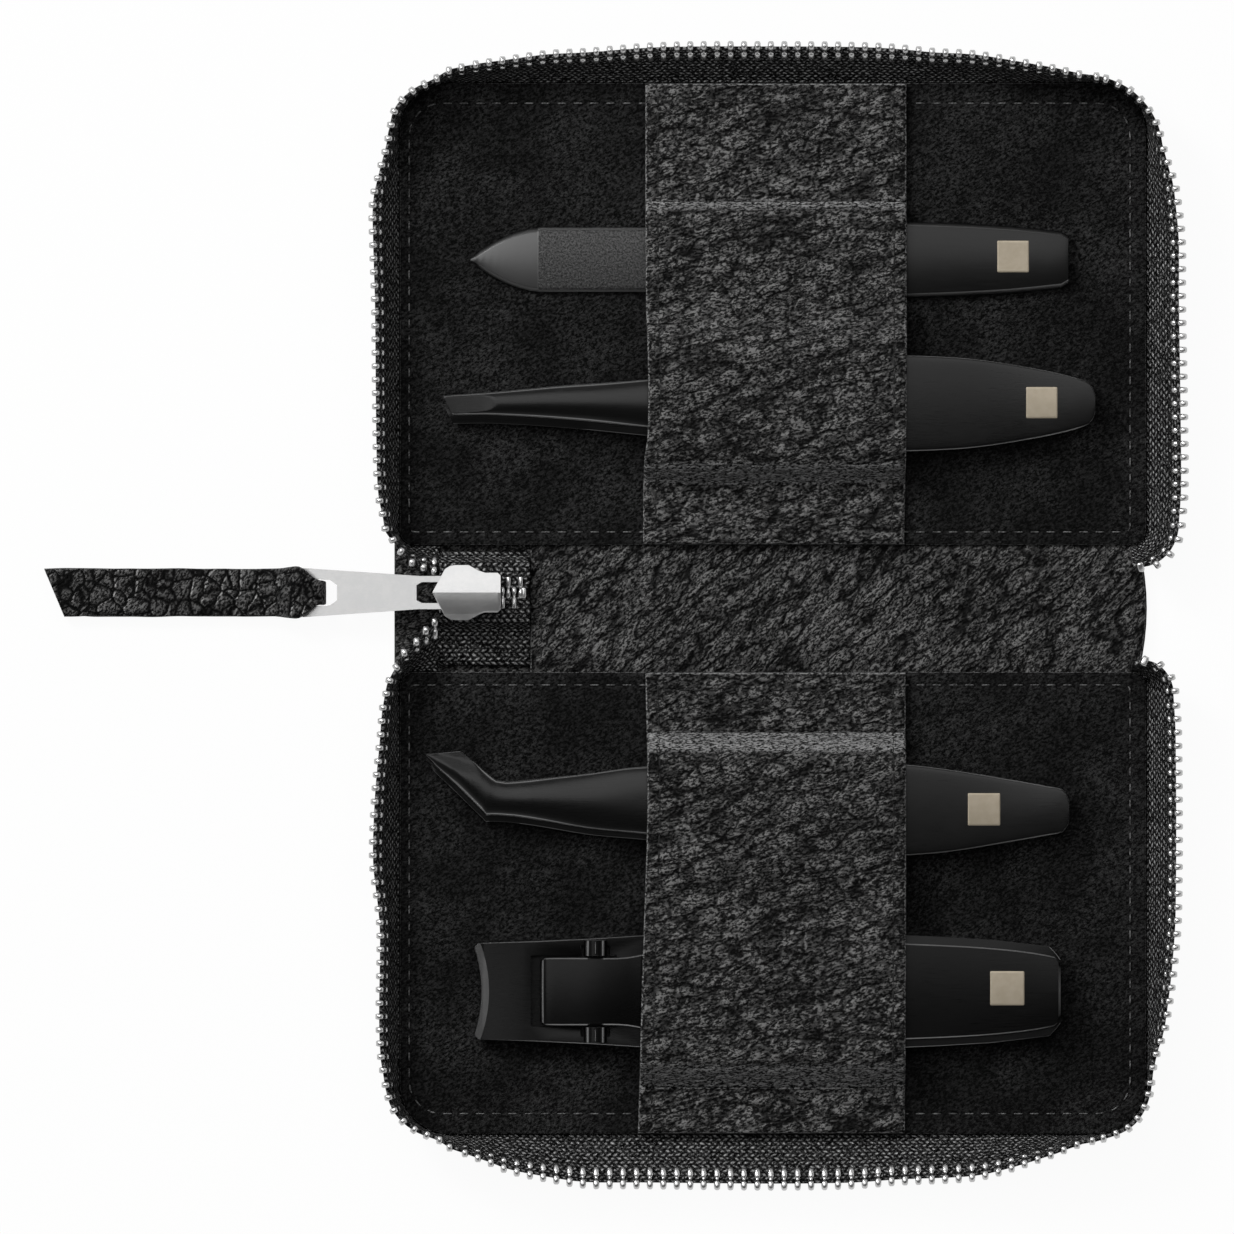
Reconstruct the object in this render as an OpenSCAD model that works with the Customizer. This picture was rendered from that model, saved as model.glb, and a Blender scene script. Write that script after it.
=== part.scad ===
// Zip-round leather manicure case, lying open, with four steel tools under two straps.
// X runs along the spine, +Y points to the upper leaf, Z is up. The origin is the middle
// of the spine on the underside of the leather.

/* [Case] */
// Width of each suede lining, along the spine
lining_w = 103.4; // [100:0.2:112]
// Depth of each lining, from its spine edge to its far edge
lining_d = 64; // [62:0.5:70]
// Distance between the two linings across the spine
spine_gap = 17.6; // [16:0.2:22]
// Distance of each fold line from the lining beside it
crease_gap = 0.6; // [0.5:0.05:0.9]
// Thickness of the outer leather
cover_t = 1.2; // [1:0.1:1.5]
// Thickness of the stiffening board
board_t = 0.8; // [0.6:0.1:1]
// Thickness of the suede lining
lining_t = 0.5; // [0.4:0.1:0.7]
// Thickness of the leather that lines the spine
spine_lining_t = 0.9; // [0.6:0.1:1]
// How far the outer leather reaches past the zip's seam
cover_lip = 0.3; // [0.2:0.1:1]
// Radius of the lining's corners far from the spine
far_r = 7; // [6:0.5:9]
// Radius of the outer leather's far corners
cover_r = 8.8; // [8:0.2:9.4]
// Radius of the zip's bend at the spine
near_r = 2.5; // [2:0.25:3]
// Slit between the outer leather panels at a fold line
fold_slit = 0.2; // [0.1:0.05:0.3]

/* [Zip] */
// Reach of tape and teeth from the seam to the tooth tips
zip_reach = 8.2; // [7.6:0.1:8.4]
// Reach that is left where the upper tape enters the slider
end_reach = 4.5; // [4.3:0.1:4.7]
// Reach of the lower tape where it enters the slider
lower_end_reach = 8; // [7.6:0.1:8.1]
// Width of the sewn margin of the tape, under the lining
tape_margin = 2.2; // [1.6:0.1:2.4]
// Thickness of the woven tape
tape_t = 0.5; // [0.4:0.05:0.55]
// Distance from one tooth to the next
tooth_pitch = 1.86; // [1.8:0.02:2]
// Length of a tooth
tooth_len = 3.2; // [3:0.1:3.4]
// Thickness of a tooth through the tape
tooth_t = 2; // [1.9:0.05:2.1]
// Width of a tooth at its legs
tooth_leg_w = 0.68; // [0.6:0.02:0.72]
// Width of a tooth at its head
tooth_head_w = 0.88; // [0.8:0.02:0.9]
// Length of the clamp at each end of the chain
stop_len = 1; // [0.9:0.1:1.1]

/* [Slider] */
// Length of the slider from its nose to its back
slider_len = 9.4; // [9.2:0.1:9.8]
// Width across the slider's shoulders
slider_w = 7.6; // [7.4:0.1:8]
// Width across the slider's narrow back
slider_back_w = 5.5; // [5.2:0.1:5.8]
// Place of the slider's nose along the spine
slider_x = -47.1; // [-47.5:0.1:-46.9]
// Distance of the chain's centre line from the middle of the spine
chain_y = 2.2; // [2:0.1:2.4]
// Thickness of each wing of the slider
wing_t = 0.7; // [0.6:0.05:0.8]
// Gap between a wing and the teeth
wing_gap = 0.2; // [0.15:0.05:0.25]
// Travel of the slider to the bottom stop
slider_travel = 2.5; // [2:0.1:2.6]
// Height of the loop space under the slider's cap
loop_h = 1.7; // [1.6:0.05:1.8]
// Thickness of the cap at its edge
cap_edge = 0.4; // [0.3:0.05:0.5]
// Extra thickness of the cap at its ridge
cap_rise = 0.8; // [0.6:0.05:1]

/* [Puller and tab] */
// Distance between the puller's two bars
puller_len = 21.4; // [20:0.2:24]
// Width of the puller at the slider
puller_near_w = 4.6; // [4.4:0.1:4.8]
// Width of the puller at the leather tab
puller_far_w = 6.8; // [6.4:0.1:7.4]
// Thickness of the puller
puller_t = 0.9; // [0.8:0.05:0.95]
// Length of the window at the slider
near_window = 3.8; // [3.6:0.1:4]
// Length of the window at the tab
far_window = 5.4; // [5.2:0.1:6]
// Width of the window at the slider
near_window_w = 2.9; // [2.8:0.1:3.1]
// Width of the window at the tab
far_window_w = 3.9; // [3.7:0.1:4.2]
// Length of the leather tab from the puller's end bar to its long corner
tab_len = 35; // [28:1:45]
// Width of the leather tab
tab_w = 6.6; // [6:0.1:7.4]
// Thickness of the leather tab
tab_t = 2; // [1.8:0.1:2.2]
// Slant of the tab's cut end
tab_slant = 2.8; // [0:0.1:4]
// Outer radius of the tab's loop round the end bar
knot_r = 2.1; // [2:0.05:2.3]

/* [Straps] */
// Width of each strap, along the spine
strap_w = 36.2; // [30:0.5:40]
// Thickness of a strap
strap_t = 1.2; // [1:0.1:1.3]
// Offset of the straps from the middle of the case
strap_x = 0.3; // [-2:0.1:2]
// Clearance of a strap round a tool
strap_fit = 0.35; // [0.3:0.05:0.5]
// Length over which a strap rises from the lining, for each mm of the tool's height
strap_ramp = 0.75; // [0.6:0.05:0.9]
// Sag of a strap between two tools
strap_sag = 0.5; // [0.2:0.1:1]

/* [Nail file] */
// Length of the nail file
file_len = 82.8; // [80:0.2:86]
// Width of the file's blade
file_w = 8.9; // [8:0.1:9.4]
// Width of the file's handle
file_handle_w = 10.5; // [9.6:0.1:11]
// Width of the file's back end
file_end_w = 7.4; // [7:0.1:8.6]
// Thickness of the blade
file_blade_t = 1; // [0.8:0.1:1.2]
// Thickness of the handle
file_handle_t = 1.6; // [1.4:0.1:1.8]
// Distance of the file from the middle of the spine
file_y = 48.3; // [47.5:0.1:48.5]
// Place of the file's back end
file_x = 40.9; // [38:0.1:43]

/* [Slanted tweezers] */
// Length of the slanted tweezers
tweezers_len = 90.3; // [86:0.2:92]
// Greatest width of the slanted tweezers
tweezers_w = 13.2; // [12:0.1:13.6]
// Width of the slanted tip
tweezers_tip_w = 3.5; // [3:0.1:4]
// Distance of the slanted tweezers from the middle of the spine
tweezers_y = 28.4; // [28:0.1:28.6]
// Place of the slanted tweezers' back end
tweezers_x = 44.6; // [42:0.1:45.5]

/* [Cuticle tweezers] */
// Length of the cuticle tweezers
cuticle_len = 89.3; // [86:0.2:91]
// Greatest width of the cuticle tweezers
cuticle_w = 13; // [12:0.1:13.4]
// Distance of the cuticle tweezers from the middle of the spine
cuticle_y = 28; // [27.8:0.1:28.4]
// Place of the cuticle tweezers' back end
cuticle_x = 41; // [39:0.1:43]

/* [Tweezers arms] */
// Height over both arms of a pair of tweezers
arms_h = 4.8; // [4.5:0.1:5]
// Thickness of an arm along its edges
arm_t = 0.8; // [0.7:0.05:0.9]
// Extra thickness of an arm along its middle
arm_crown = 0.35; // [0.2:0.05:0.4]
// Length over which the two arms are welded together
weld_len = 9; // [7:0.5:11]
// Height of the weld between the arms
weld_h = 0.4; // [0.3:0.05:0.5]

/* [Nail clipper] */
// Length of the clipper
clipper_len = 81.4; // [79:0.2:83]
// Width of the clipper's body
clipper_w = 16.3; // [16:0.1:16.6]
// Width of the cutting edge
clipper_edge_w = 13.3; // [12.8:0.1:13.6]
// Width of the body at its back end
clipper_end_w = 12.4; // [11.6:0.1:13]
// Radius of the hollow cutting edge
edge_r = 19; // [16:0.5:24]
// Thickness of each jaw
jaw_t = 1.1; // [1:0.05:1.2]
// Space between the two jaws
jaw_gap = 1; // [0.9:0.05:1.1]
// Space between the cutting edges
bite_gap = 0.15; // [0.1:0.01:0.2]
// Width of the lever
lever_w = 13.6; // [13:0.1:14]
// Width of the lever's neck, between the ears
lever_neck_w = 9.3; // [9:0.1:9.4]
// Thickness of the lever
lever_t = 1.2; // [1:0.05:1.3]
// Distance of the cross pin from the cutting edge
pin_x = 17; // [16.5:0.1:17.5]
// Radius of the cross pin
pin_r = 0.55; // [0.5:0.05:0.6]
// Radius of the rear rivet
rivet_r = 1.6; // [1.2:0.1:2]
// Distance of the rear rivet from the back end
rivet_x = 5; // [4.5:0.1:6]
// Distance of the clipper from the middle of the spine
clipper_y = 53; // [52.8:0.1:53.4]
// Place of the clipper's back end
clipper_x = 39.8; // [38.5:0.1:41]

/* [Hidden] */
// Turns round a small hidden bore or pin
round_fn = 40;
// Least clearance between pieces that slide or lie on each other
fit = 0.1;
// Clearance of a turning pin
pin_fit = 0.05;
// Distance of a fold line from the middle of the spine
crease_y = spine_gap / 2 - crease_gap;
// Tops of the layers
board_z = cover_t + board_t;
lining_z = board_z + lining_t;
// Width of the free gap between the lining's edge and the seam line of the zip
seam = 0.45;
// Outline that the zip's seam follows, round each leaf
seam_x = lining_w / 2 + seam;
seam_near = spine_gap / 2 - seam;
seam_far = spine_gap / 2 + lining_d + seam;
// Outline of the outer leather
cover_x = seam_x + cover_lip;
// Height of the tape's middle where it is sewn
tape_z = cover_t + fit + tape_t / 2;
// Height of the chain's middle where it lies on the spine
slider_z = cover_t + spine_lining_t + fit;
chain_z = slider_z + wing_t + wing_gap + tooth_t / 2;
cap_z = chain_z + tooth_t / 2 + wing_gap + wing_t;
loop_z = cap_z + loop_h / 2;
// How deep the tape sits in a tooth, and the slot that holds it
grip = 1.2;
slot_h = tape_t + fit;
slot_len = grip + fit;
// Half the width of the joined chain, and of the bottom stop
chain_half = tooth_len * 0.7;
stop_half = chain_half - 0.5;
// Place of the lining that starts beside the bottom stop
stop_x = slider_x + slider_len + slider_travel + fit;
stop_room = 5 * fit;
spine_lining_x = stop_x + stop_len + stop_room;
// Place of the puller's bar, its slope, and the bar at its far end
bar_r = puller_t / 2;
bar_x = slider_x + 2;
foot_w = near_window_w - 0.7;
foot_len = 0.9;
puller_fall = asin((loop_z - knot_r - fit) / puller_len);
far_bar_x = bar_x - puller_len * cos(puller_fall);
far_bar_z = knot_r + fit;
// Height of the plane on which the tools lie
tool_z = lining_z + fit;
mid_z = tool_z + arms_h / 2;

// Tilt of the tape from upright, in degrees, round the upper and the lower leaf.
// The first number counts the stretches of the seam: 0 to 1 along the spine at the
// slider, then corner, left side, corner, far side, corner, right side, corner.
upper_tilt = [[0, 60], [0.4, 38], [1, 20], [1.5, 5], [2, 11], [2.09, 18.5], [2.2, 20.7], [2.58, 22.7],
              [2.73, 24.9], [2.83, 24.9], [2.9, 17.5], [3, 7], [3.27, 5.5], [3.57, 1.5], [3.8, 0.5],
              [4, 9], [4.03, 14], [4.09, 20.5], [4.15, 27], [4.21, 29.5], [4.33, 37], [4.5, 38],
              [4.63, 37], [4.69, 34.5], [4.75, 29.5], [4.81, 27], [4.87, 19.5], [4.93, 11.5], [5, 2],
              [5.5, 0], [6, 10], [6.08, 19.5], [6.13, 27], [6.18, 30.7], [6.27, 35.4], [6.42, 35.6],
              [6.67, 38], [6.9, 39], [7, 35], [7.5, 28], [8, 21]];
lower_tilt = [[0, 71], [0.4, 52], [1, 26], [1.5, 8], [2, 9], [2.05, 13.5], [2.13, 16.5], [2.28, 22.7],
              [2.44, 24.9], [2.55, 19], [2.62, 16.5], [2.84, 17.5], [2.94, 15.5], [3, 11], [3.3, 8],
              [3.6, 3.5], [3.85, 2], [4, 10], [4.03, 18], [4.06, 26], [4.09, 36], [4.15, 48], [4.21, 59],
              [4.3, 60], [4.5, 63], [4.62, 60.5], [4.69, 53.5], [4.81, 46.8], [4.87, 33.5], [4.93, 18],
              [5, 2], [5.5, 0], [6, 0], [6.08, 6.7], [6.13, 14.5], [6.18, 18.6], [6.28, 25], [6.43, 30.7],
              [6.88, 30.7], [7, 27], [7.5, 17], [8, 5]];
// Each chain's tilt and its reach at the slider
upper_chain = [upper_tilt, end_reach];
lower_chain = [lower_tilt, lower_end_reach];
// Stations of the tape in each stretch
tape_steps = [4, 5, 10, 6, 18, 6, 10, 5];
// Steps of the finer line along which the teeth are counted out
chain_steps = 240;

// Straight blend from a to b
function mix(a, b, t) = a + (b - a) * t;

// Slope of a hand-set curve at one of its points
function slope(k, i) = let(a = max(0, i - 1), b = min(len(k) - 1, i + 1))
    (k[b][1] - k[a][1]) / (k[b][0] - k[a][0]);

// Smooth curve through hand-set points [place, value]
function curve(k, x, i = 0) =
    x > k[i + 1][0] && i < len(k) - 2 ? curve(k, x, i + 1) :
    let(h = k[i + 1][0] - k[i][0], t = max(0, min(1, (x - k[i][0]) / h)))
    k[i][1] * (1 + 2 * t) * pow(1 - t, 2) + k[i + 1][1] * t * t * (3 - 2 * t)
    + slope(k, i) * h * t * pow(1 - t, 2) - slope(k, i + 1) * h * t * t * (1 - t);

// Solid skinned over closed rings that all have the same number of points
module loft(rings) {
    n = len(rings[0]);
    last = (len(rings) - 1) * n;
    sides = [for (i = [0:len(rings) - 2], j = [0:n - 1], half = [0, 1])
        let(a = i * n + j, b = i * n + (j + 1) % n)
        half == 0 ? [a, b, b + n] : [a, b + n, a + n]];
    caps = [for (j = [1:n - 2], end = [0, 1])
        end == 0 ? [0, j + 1, j] : [last, last + j, last + j + 1]];
    polyhedron(points = [for (r = rings, p = r) p], faces = concat(sides, caps));
}

// Rounded outline of a leaf, grown by a margin past the lining's edge
module leaf_outline(near, grow, r, corner_r = 0) {
    x = lining_w / 2 + grow;
    y = spine_gap / 2 + lining_d + grow;
    difference() {
        translate([-x, near]) square([2 * x, y - near]);
        for (side = [-1, 1], end = corner_r > 0 ? [[y, 1, r], [near, -1, corner_r]] : [[y, 1, r]])
            translate([side * (x - end[2] / 2), end[0] - end[1] * end[2] / 2]) difference() {
                square([end[2] + fit, end[2] + fit], center = true);
                translate([-side * end[2] / 2, -end[1] * end[2] / 2]) circle(r = end[2], $fn = 64);
            }
    }
}

// Outer leather and stiffening board of one leaf
module leaf_cover() {
    linear_extrude(cover_t) leaf_outline(crease_y + fold_slit / 2, seam + cover_lip, cover_r);
}

module leaf_board() {
    inset = tape_margin - seam + 2 * fit;
    translate([0, 0, cover_t]) linear_extrude(board_t)
        leaf_outline(spine_gap / 2 + inset, -inset, far_r - inset);
}

module leaf_lining() {
    translate([0, 0, board_z]) linear_extrude(lining_t)
        leaf_outline(spine_gap / 2, 0, far_r, near_r - seam);
}

// Place and outward direction of the zip's seam at u, which counts its stretches
function seam_angle(u) =
    u < 1 ? -90 : u < 2 ? -90 - 90 * (u - 1) : u < 3 ? -180 :
    u < 4 ? 180 - 90 * (u - 3) : u < 5 ? 90 : u < 6 ? 90 - 90 * (u - 5) : u < 7 ? 0 : -90 * (u - 7);
function seam_start_x() = slider_x + 0.9;
function seam_point(u) =
    let(a = seam_angle(u), out = [cos(a), sin(a)], r = far_r + seam)
    u < 1 ? [mix(seam_start_x(), near_r - seam_x, u), seam_near] :
    u < 2 ? [near_r - seam_x, seam_near + near_r] + near_r * out :
    u < 3 ? [-seam_x, mix(seam_near + near_r, seam_far - r, u - 2)] :
    u < 4 ? [r - seam_x, seam_far - r] + r * out :
    u < 5 ? [mix(r - seam_x, seam_x - r, u - 4), seam_far] :
    u < 6 ? [seam_x - r, seam_far - r] + r * out :
    u < 7 ? [seam_x, mix(seam_far - r, seam_near + near_r, u - 6)] :
    [seam_x - near_r, seam_near + near_r] + near_r * out;

// Directions of the flared tape at u: along its reach, through its thickness, along the seam
function reach_dir(u, chain) = let(a = seam_angle(u), f = curve(chain[0], u))
    [cos(a) * sin(f), sin(a) * sin(f), cos(f)];
function thick_dir(u, chain) = let(a = seam_angle(u), f = curve(chain[0], u))
    [cos(a) * cos(f), sin(a) * cos(f), -sin(f)];
function seam_dir(u) = let(a = seam_angle(u)) [sin(a), -cos(a), 0];
function reach(u, chain) = u < 2
    ? curve([[0, chain[1]], [1, mix(chain[1], zip_reach, 0.6)], [2, zip_reach]], u) : zip_reach;
function bend(u) = let(p = seam_point(u)) [p[0], p[1], tape_z];
function tooth_root(u, chain) = bend(u) + reach_dir(u, chain) * (reach(u, chain) - tooth_len);

// One ring of the tape: sewn margin, bend and free part
function tape_ring(u, chain) =
    let(a = seam_angle(u), c = bend(u), d = reach_dir(u, chain), w = thick_dir(u, chain) * tape_t / 2,
        inner = c - [cos(a), sin(a), 0] * tape_margin, tip = c + d * (reach(u, chain) - tooth_len + grip),
        up = [0, 0, tape_t / 2])
    [inner + up, c - w, tip - w, tip + w, c + w, inner - up];

// Free tape of one leaf
module zip_tape(chain) {
    loft([for (s = [0:7], i = [0:tape_steps[s] - (s < 7 ? 1 : 0)])
        tape_ring(min(7.999, s + i / tape_steps[s]), chain)]);
}

// Section of a tooth: along its reach, through its thickness, half its width there
tooth_section = let(s = slot_h / 2, h = tooth_t / 2, leg = tooth_leg_w / 2, head = tooth_head_w / 2)
    [[0, s, leg], [0, h, leg], [tooth_len / 2, h, head], [tooth_len, h / 2, head],
     [tooth_len, -h / 2, head], [tooth_len / 2, -h, head], [0, -h, leg], [0, -s, leg],
     [slot_len, -s, leg], [slot_len, s, leg]];
tooth_caps = [[0, 1, 2], [0, 2, 9], [9, 2, 3], [9, 3, 4], [9, 4, 8], [8, 4, 5], [8, 5, 6], [8, 6, 7]];

// Points of one tooth from its root and its three directions
function tooth_points(root, d, w, t) = [for (side = [-1, 1], p = tooth_section)
    root + d * p[0] + w * p[1] + t * (side * p[2])];
function tooth_faces(k) = let(n = len(tooth_section), o = 2 * n * k) concat(
    [for (f = tooth_caps) [o + f[0], o + f[1], o + f[2]]],
    [for (f = tooth_caps) [o + n + f[2], o + n + f[1], o + n + f[0]]],
    [for (j = [0:n - 1], half = [0, 1]) let(a = o + j, b = o + (j + 1) % n)
        half == 0 ? [a, b + n, b] : [a, a + n, b + n]]);

// Places along the chain where equal steps of the tooth pitch fall
function chain_table(chain) = let(end = 7.98, p = [for (i = [0:chain_steps])
        tooth_root(end * i / chain_steps, chain)])
    [for (i = 0, run = 0; i <= chain_steps;
          run = run + (i < chain_steps ? norm(p[i + 1] - p[i]) : 0), i = i + 1)
        [run, end * i / chain_steps]];
// The last place is the end stop's, which keeps clear of the tape's end
end_room = 0.4 * tooth_pitch;
function chain_runs(table) = [for (run = tooth_pitch / 2;
    run < table[chain_steps][0] - end_room; run = run + tooth_pitch) run];
function tooth_places(chain) = let(table = chain_table(chain), runs = chain_runs(table))
    [for (i = [0:len(runs) - 2]) lookup(runs[i], table)];

module zip_teeth(chain) {
    places = tooth_places(chain);
    polyhedron(
        points = [for (u = places) each tooth_points(tooth_root(u, chain), reach_dir(u, chain),
            thick_dir(u, chain), seam_dir(u))],
        faces = [for (k = [0:len(places) - 1]) each tooth_faces(k)]);
}

// Metal clamp at the open end of one chain
module top_stop(chain) {
    table = chain_table(chain);
    runs = chain_runs(table);
    u = lookup(runs[len(runs) - 1], table);
    d = reach_dir(u, chain);
    w = thick_dir(u, chain);
    t = seam_dir(u);
    root = tooth_root(u, chain);
    multmatrix([[d[0], w[0], t[0], root[0]], [d[1], w[1], t[1], root[1]], [d[2], w[2], t[2], root[2]],
                [0, 0, 0, 1]])
        difference() {
            translate([0, -tooth_t / 2, -stop_len / 2]) cube([tooth_len * 0.75, tooth_t, stop_len]);
            translate([-fit, -slot_h / 2, -stop_len]) cube([slot_len + fit, slot_h, 2 * stop_len]);
        }
}

// Smooth step from 0 to 1
function ease(t) = let(c = max(0, min(1, t))) c * c * (3 - 2 * c);

// Underside of a strap over two tools, given as [distance from the spine, width, height]:
// it climbs to each tool's edge and runs nearly taut between the two
function strap_under(y, near, far) =
    let(n0 = near[0] - near[1] / 2 - strap_fit, n1 = near[0] + near[1] / 2 + strap_fit,
        f0 = far[0] - far[1] / 2 - strap_fit, f1 = far[0] + far[1] / 2 + strap_fit)
    lining_z + fit + (
        y < n1 ? near[2] * ease(1 - (n0 - y) / (strap_ramp * near[2])) :
        y > f0 ? far[2] * ease(1 - (y - f1) / (strap_ramp * far[2] + 1)) :
        mix(near[2], far[2], ease((y - n1) / (f0 - n1))) - strap_sag * sin(180 * (y - n1) / (f0 - n1)));

// Leather band across one leaf, sewn down at both ends
module strap(near, far) {
    y0 = spine_gap / 2 + fit;
    y1 = spine_gap / 2 + lining_d - fit;
    steps = 64;
    ys = [for (i = [0:steps]) mix(y0, y1, i / steps)];
    rise = function(y) strap_under(y + 0.1, near, far) - strap_under(y - 0.1, near, far);
    outer = [for (y = ys) let(m = rise(y) / 0.2, q = sqrt(1 + m * m))
        [min(y1, max(y0, y - m * strap_t / q)), strap_under(y, near, far) + strap_t / q]];
    inner = [for (i = [steps:-1:0]) [ys[i], strap_under(ys[i], near, far)]];
    translate([strap_x - strap_w / 2, 0, 0]) rotate([90, 0, 90]) linear_extrude(strap_w)
        polygon(concat(outer, inner));
}

module upper_strap() {
    color("#1c1c1d") strap(
        [tweezers_y, tweezers_w, arms_h + strap_fit],
        [file_y, file_handle_w, file_handle_t + strap_fit]);
}
module lower_strap() {
    color("#1c1c1d") mirror([0, 1, 0]) strap(
        [cuticle_y, cuticle_w, arms_h + strap_fit],
        [clipper_y, clipper_w, clipper_top - tool_z + strap_fit]);
}

module upper_cover() { color("#1b1b1c") leaf_cover(); }
module lower_cover() { color("#1b1b1c") mirror([0, 1, 0]) leaf_cover(); }
module upper_board() { color("#6b5a45") leaf_board(); }
module lower_board() { color("#6b5a45") mirror([0, 1, 0]) leaf_board(); }
module upper_lining() { color("#101011") leaf_lining(); }
module lower_lining() { color("#101011") mirror([0, 1, 0]) leaf_lining(); }
module upper_zip_tape() { color("#141416") zip_tape(upper_chain); }
module lower_zip_tape() { color("#141416") mirror([0, 1, 0]) zip_tape(lower_chain); }
module upper_zip_teeth() { color("#b9bbbe") zip_teeth(upper_chain); }
module lower_zip_teeth() { color("#b9bbbe") mirror([0, 1, 0]) zip_teeth(lower_chain); }
module upper_top_stop() { color("#b9bbbe") top_stop(upper_chain); }
module lower_top_stop() { color("#b9bbbe") mirror([0, 1, 0]) top_stop(lower_chain); }

// Spine
module spine_cover() {
    color("#1b1b1c") translate([-cover_x, -crease_y + fold_slit / 2, 0])
        cube([2 * cover_x, 2 * crease_y - fold_slit, cover_t]);
}

module spine_lining() {
    inset = 0.3;
    color("#19191a") translate([spine_lining_x, -crease_y + inset, cover_t])
        cube([lining_w / 2 - spine_lining_x, 2 * (crease_y - inset), spine_lining_t]);
}

// Both tapes run on together over the spine, rising to the chain between them
module zip_end_tape() {
    foot = 1.7;
    mouth = slider_w / 2 + fit;
    wide = crease_y - chain_y - 0.3;
    color("#141416") for (side = [-1, 1]) {
        out = side > 0 ? wide : crease_y + chain_y - 0.3;
        low = tape_z + 0.02;
        line = [[chain_half - grip, chain_z], [mouth, chain_z], [min(out - foot / 2, mouth + 1.2), low],
                [out, low]];
        translate([slider_x + foot_len, chain_y, 0]) rotate([90, 0, 90])
            linear_extrude(spine_lining_x - fit - slider_x - foot_len)
                polygon(concat([for (p = line) [side * p[0], p[1] - tape_t / 2]],
                               [for (i = [3:-1:0]) [side * line[i][0], line[i][1] + tape_t / 2]]));
    }
}

// Teeth already joined behind the slider, from both sides in turn
module joined_teeth() {
    first = slider_x + slider_len - 2.5;
    count = floor((stop_x - first) / (tooth_pitch / 2));
    places = [for (i = [0:count - 1]) first + (i + 0.5) * tooth_pitch / 2];
    color("#b9bbbe") polyhedron(
        points = [for (i = [0:count - 1]) let(s = i % 2 == 0 ? 1 : -1)
            each tooth_points([places[i], chain_y + s * chain_half, chain_z], [0, -s, 0],
                [0, 0, 1], [s, 0, 0])],
        faces = [for (k = [0:count - 1]) each tooth_faces(k)]);
}

// Clamp that holds both tapes at the bottom of the chain
module bottom_stop() {
    color("#b9bbbe") difference() {
        translate([stop_x, chain_y - stop_half, chain_z - tooth_t / 2])
            cube([stop_len, 2 * stop_half, tooth_t]);
        for (side = [-1, 1])
            translate([stop_x - fit, chain_y + side * chain_half - slot_len, chain_z - slot_h / 2])
            cube([stop_len + 2 * fit, 2 * slot_len, slot_h]);
    }
}

// Slider outline, seen from above, from its nose along the chain
module slider_outline(grow = 0) {
    w = slider_w / 2 + grow;
    b = slider_back_w / 2 + grow;
    half = [[-grow, 0.1], [1.2, w * 0.62], [1.7, w * 0.86], [2.4, w * 0.97], [3.1, w], [5, w],
            [6.2, mix(b, w, 0.35)], [7.2, b], [slider_len - 0.4, b], [slider_len + grow, b - 0.4]];
    polygon(concat(half, [for (i = [len(half) - 1:-1:0]) [half[i][0], -half[i][1]]]));
}

module slider_body() {
    top = chain_z + tooth_t / 2 + wing_gap;
    flange = slider_back_w / 2 - chain_half - fit;
    post = chain_half - grip - fit;
    lip = (top - slider_z - wing_t - tape_t - 0.4) / 2;
    color("#c9cacc") translate([slider_x, chain_y, 0]) difference() {
        union() {
            translate([0, 0, slider_z]) linear_extrude(wing_t) slider_outline();
            translate([0, 0, top]) linear_extrude(wing_t) slider_outline();
            translate([0, 0, slider_z + wing_t]) linear_extrude(top - slider_z - wing_t)
                polygon([[0.4, 0], [1.6, post], [3.2, post], [4.4, 0], [3.2, -post], [1.6, -post]]);
            for (z = [slider_z + wing_t, top - lip]) translate([0, 0, z]) linear_extrude(lip)
                difference() {
                    intersection() {
                        slider_outline();
                        translate([3.4, -slider_w]) square([slider_len, 2 * slider_w]);
                    }
                    translate([3, 0]) polygon([[0, slider_w / 2 - flange],
                        [2, slider_w / 2 - flange], [4.2, slider_back_w / 2 - flange],
                        [slider_len, slider_back_w / 2 - flange], [slider_len, flange - slider_back_w / 2],
                        [4.2, flange - slider_back_w / 2], [2, flange - slider_w / 2],
                        [0, flange - slider_w / 2]]);
                }
        }
    }
}

// Ridged cap that keeps the puller's bar in its loop space
module slider_cap() {
    w = slider_w / 2;
    eave = cap_z + loop_h + cap_edge;
    back = bar_x - slider_x + bar_r + 0.5;
    color("#d2d3d5") translate([slider_x, chain_y, 0]) difference() {
        intersection() {
            translate([0, 0, cap_z]) linear_extrude(2 * loop_h + cap_rise) slider_outline();
            translate([-1, 0, 0]) rotate([90, 0, 90]) linear_extrude(slider_len + 2)
                polygon([[-w - 1, cap_z], [w + 1, cap_z], [w + 1, eave], [0, eave + cap_rise],
                         [-w - 1, eave]]);
        }
        translate([foot_len, -w - 1, cap_z - 1]) cube([back - foot_len, 2 * w + 2, loop_h + 1]);
        for (side = [-1, 1]) translate([-1, side * (w + 1 + foot_w / 2) / 2, cap_z + loop_h / 2 - 0.5])
            cube([2 * (foot_len + 1), w + 1 - foot_w / 2, loop_h + 1], center = true);
    }
}

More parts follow.
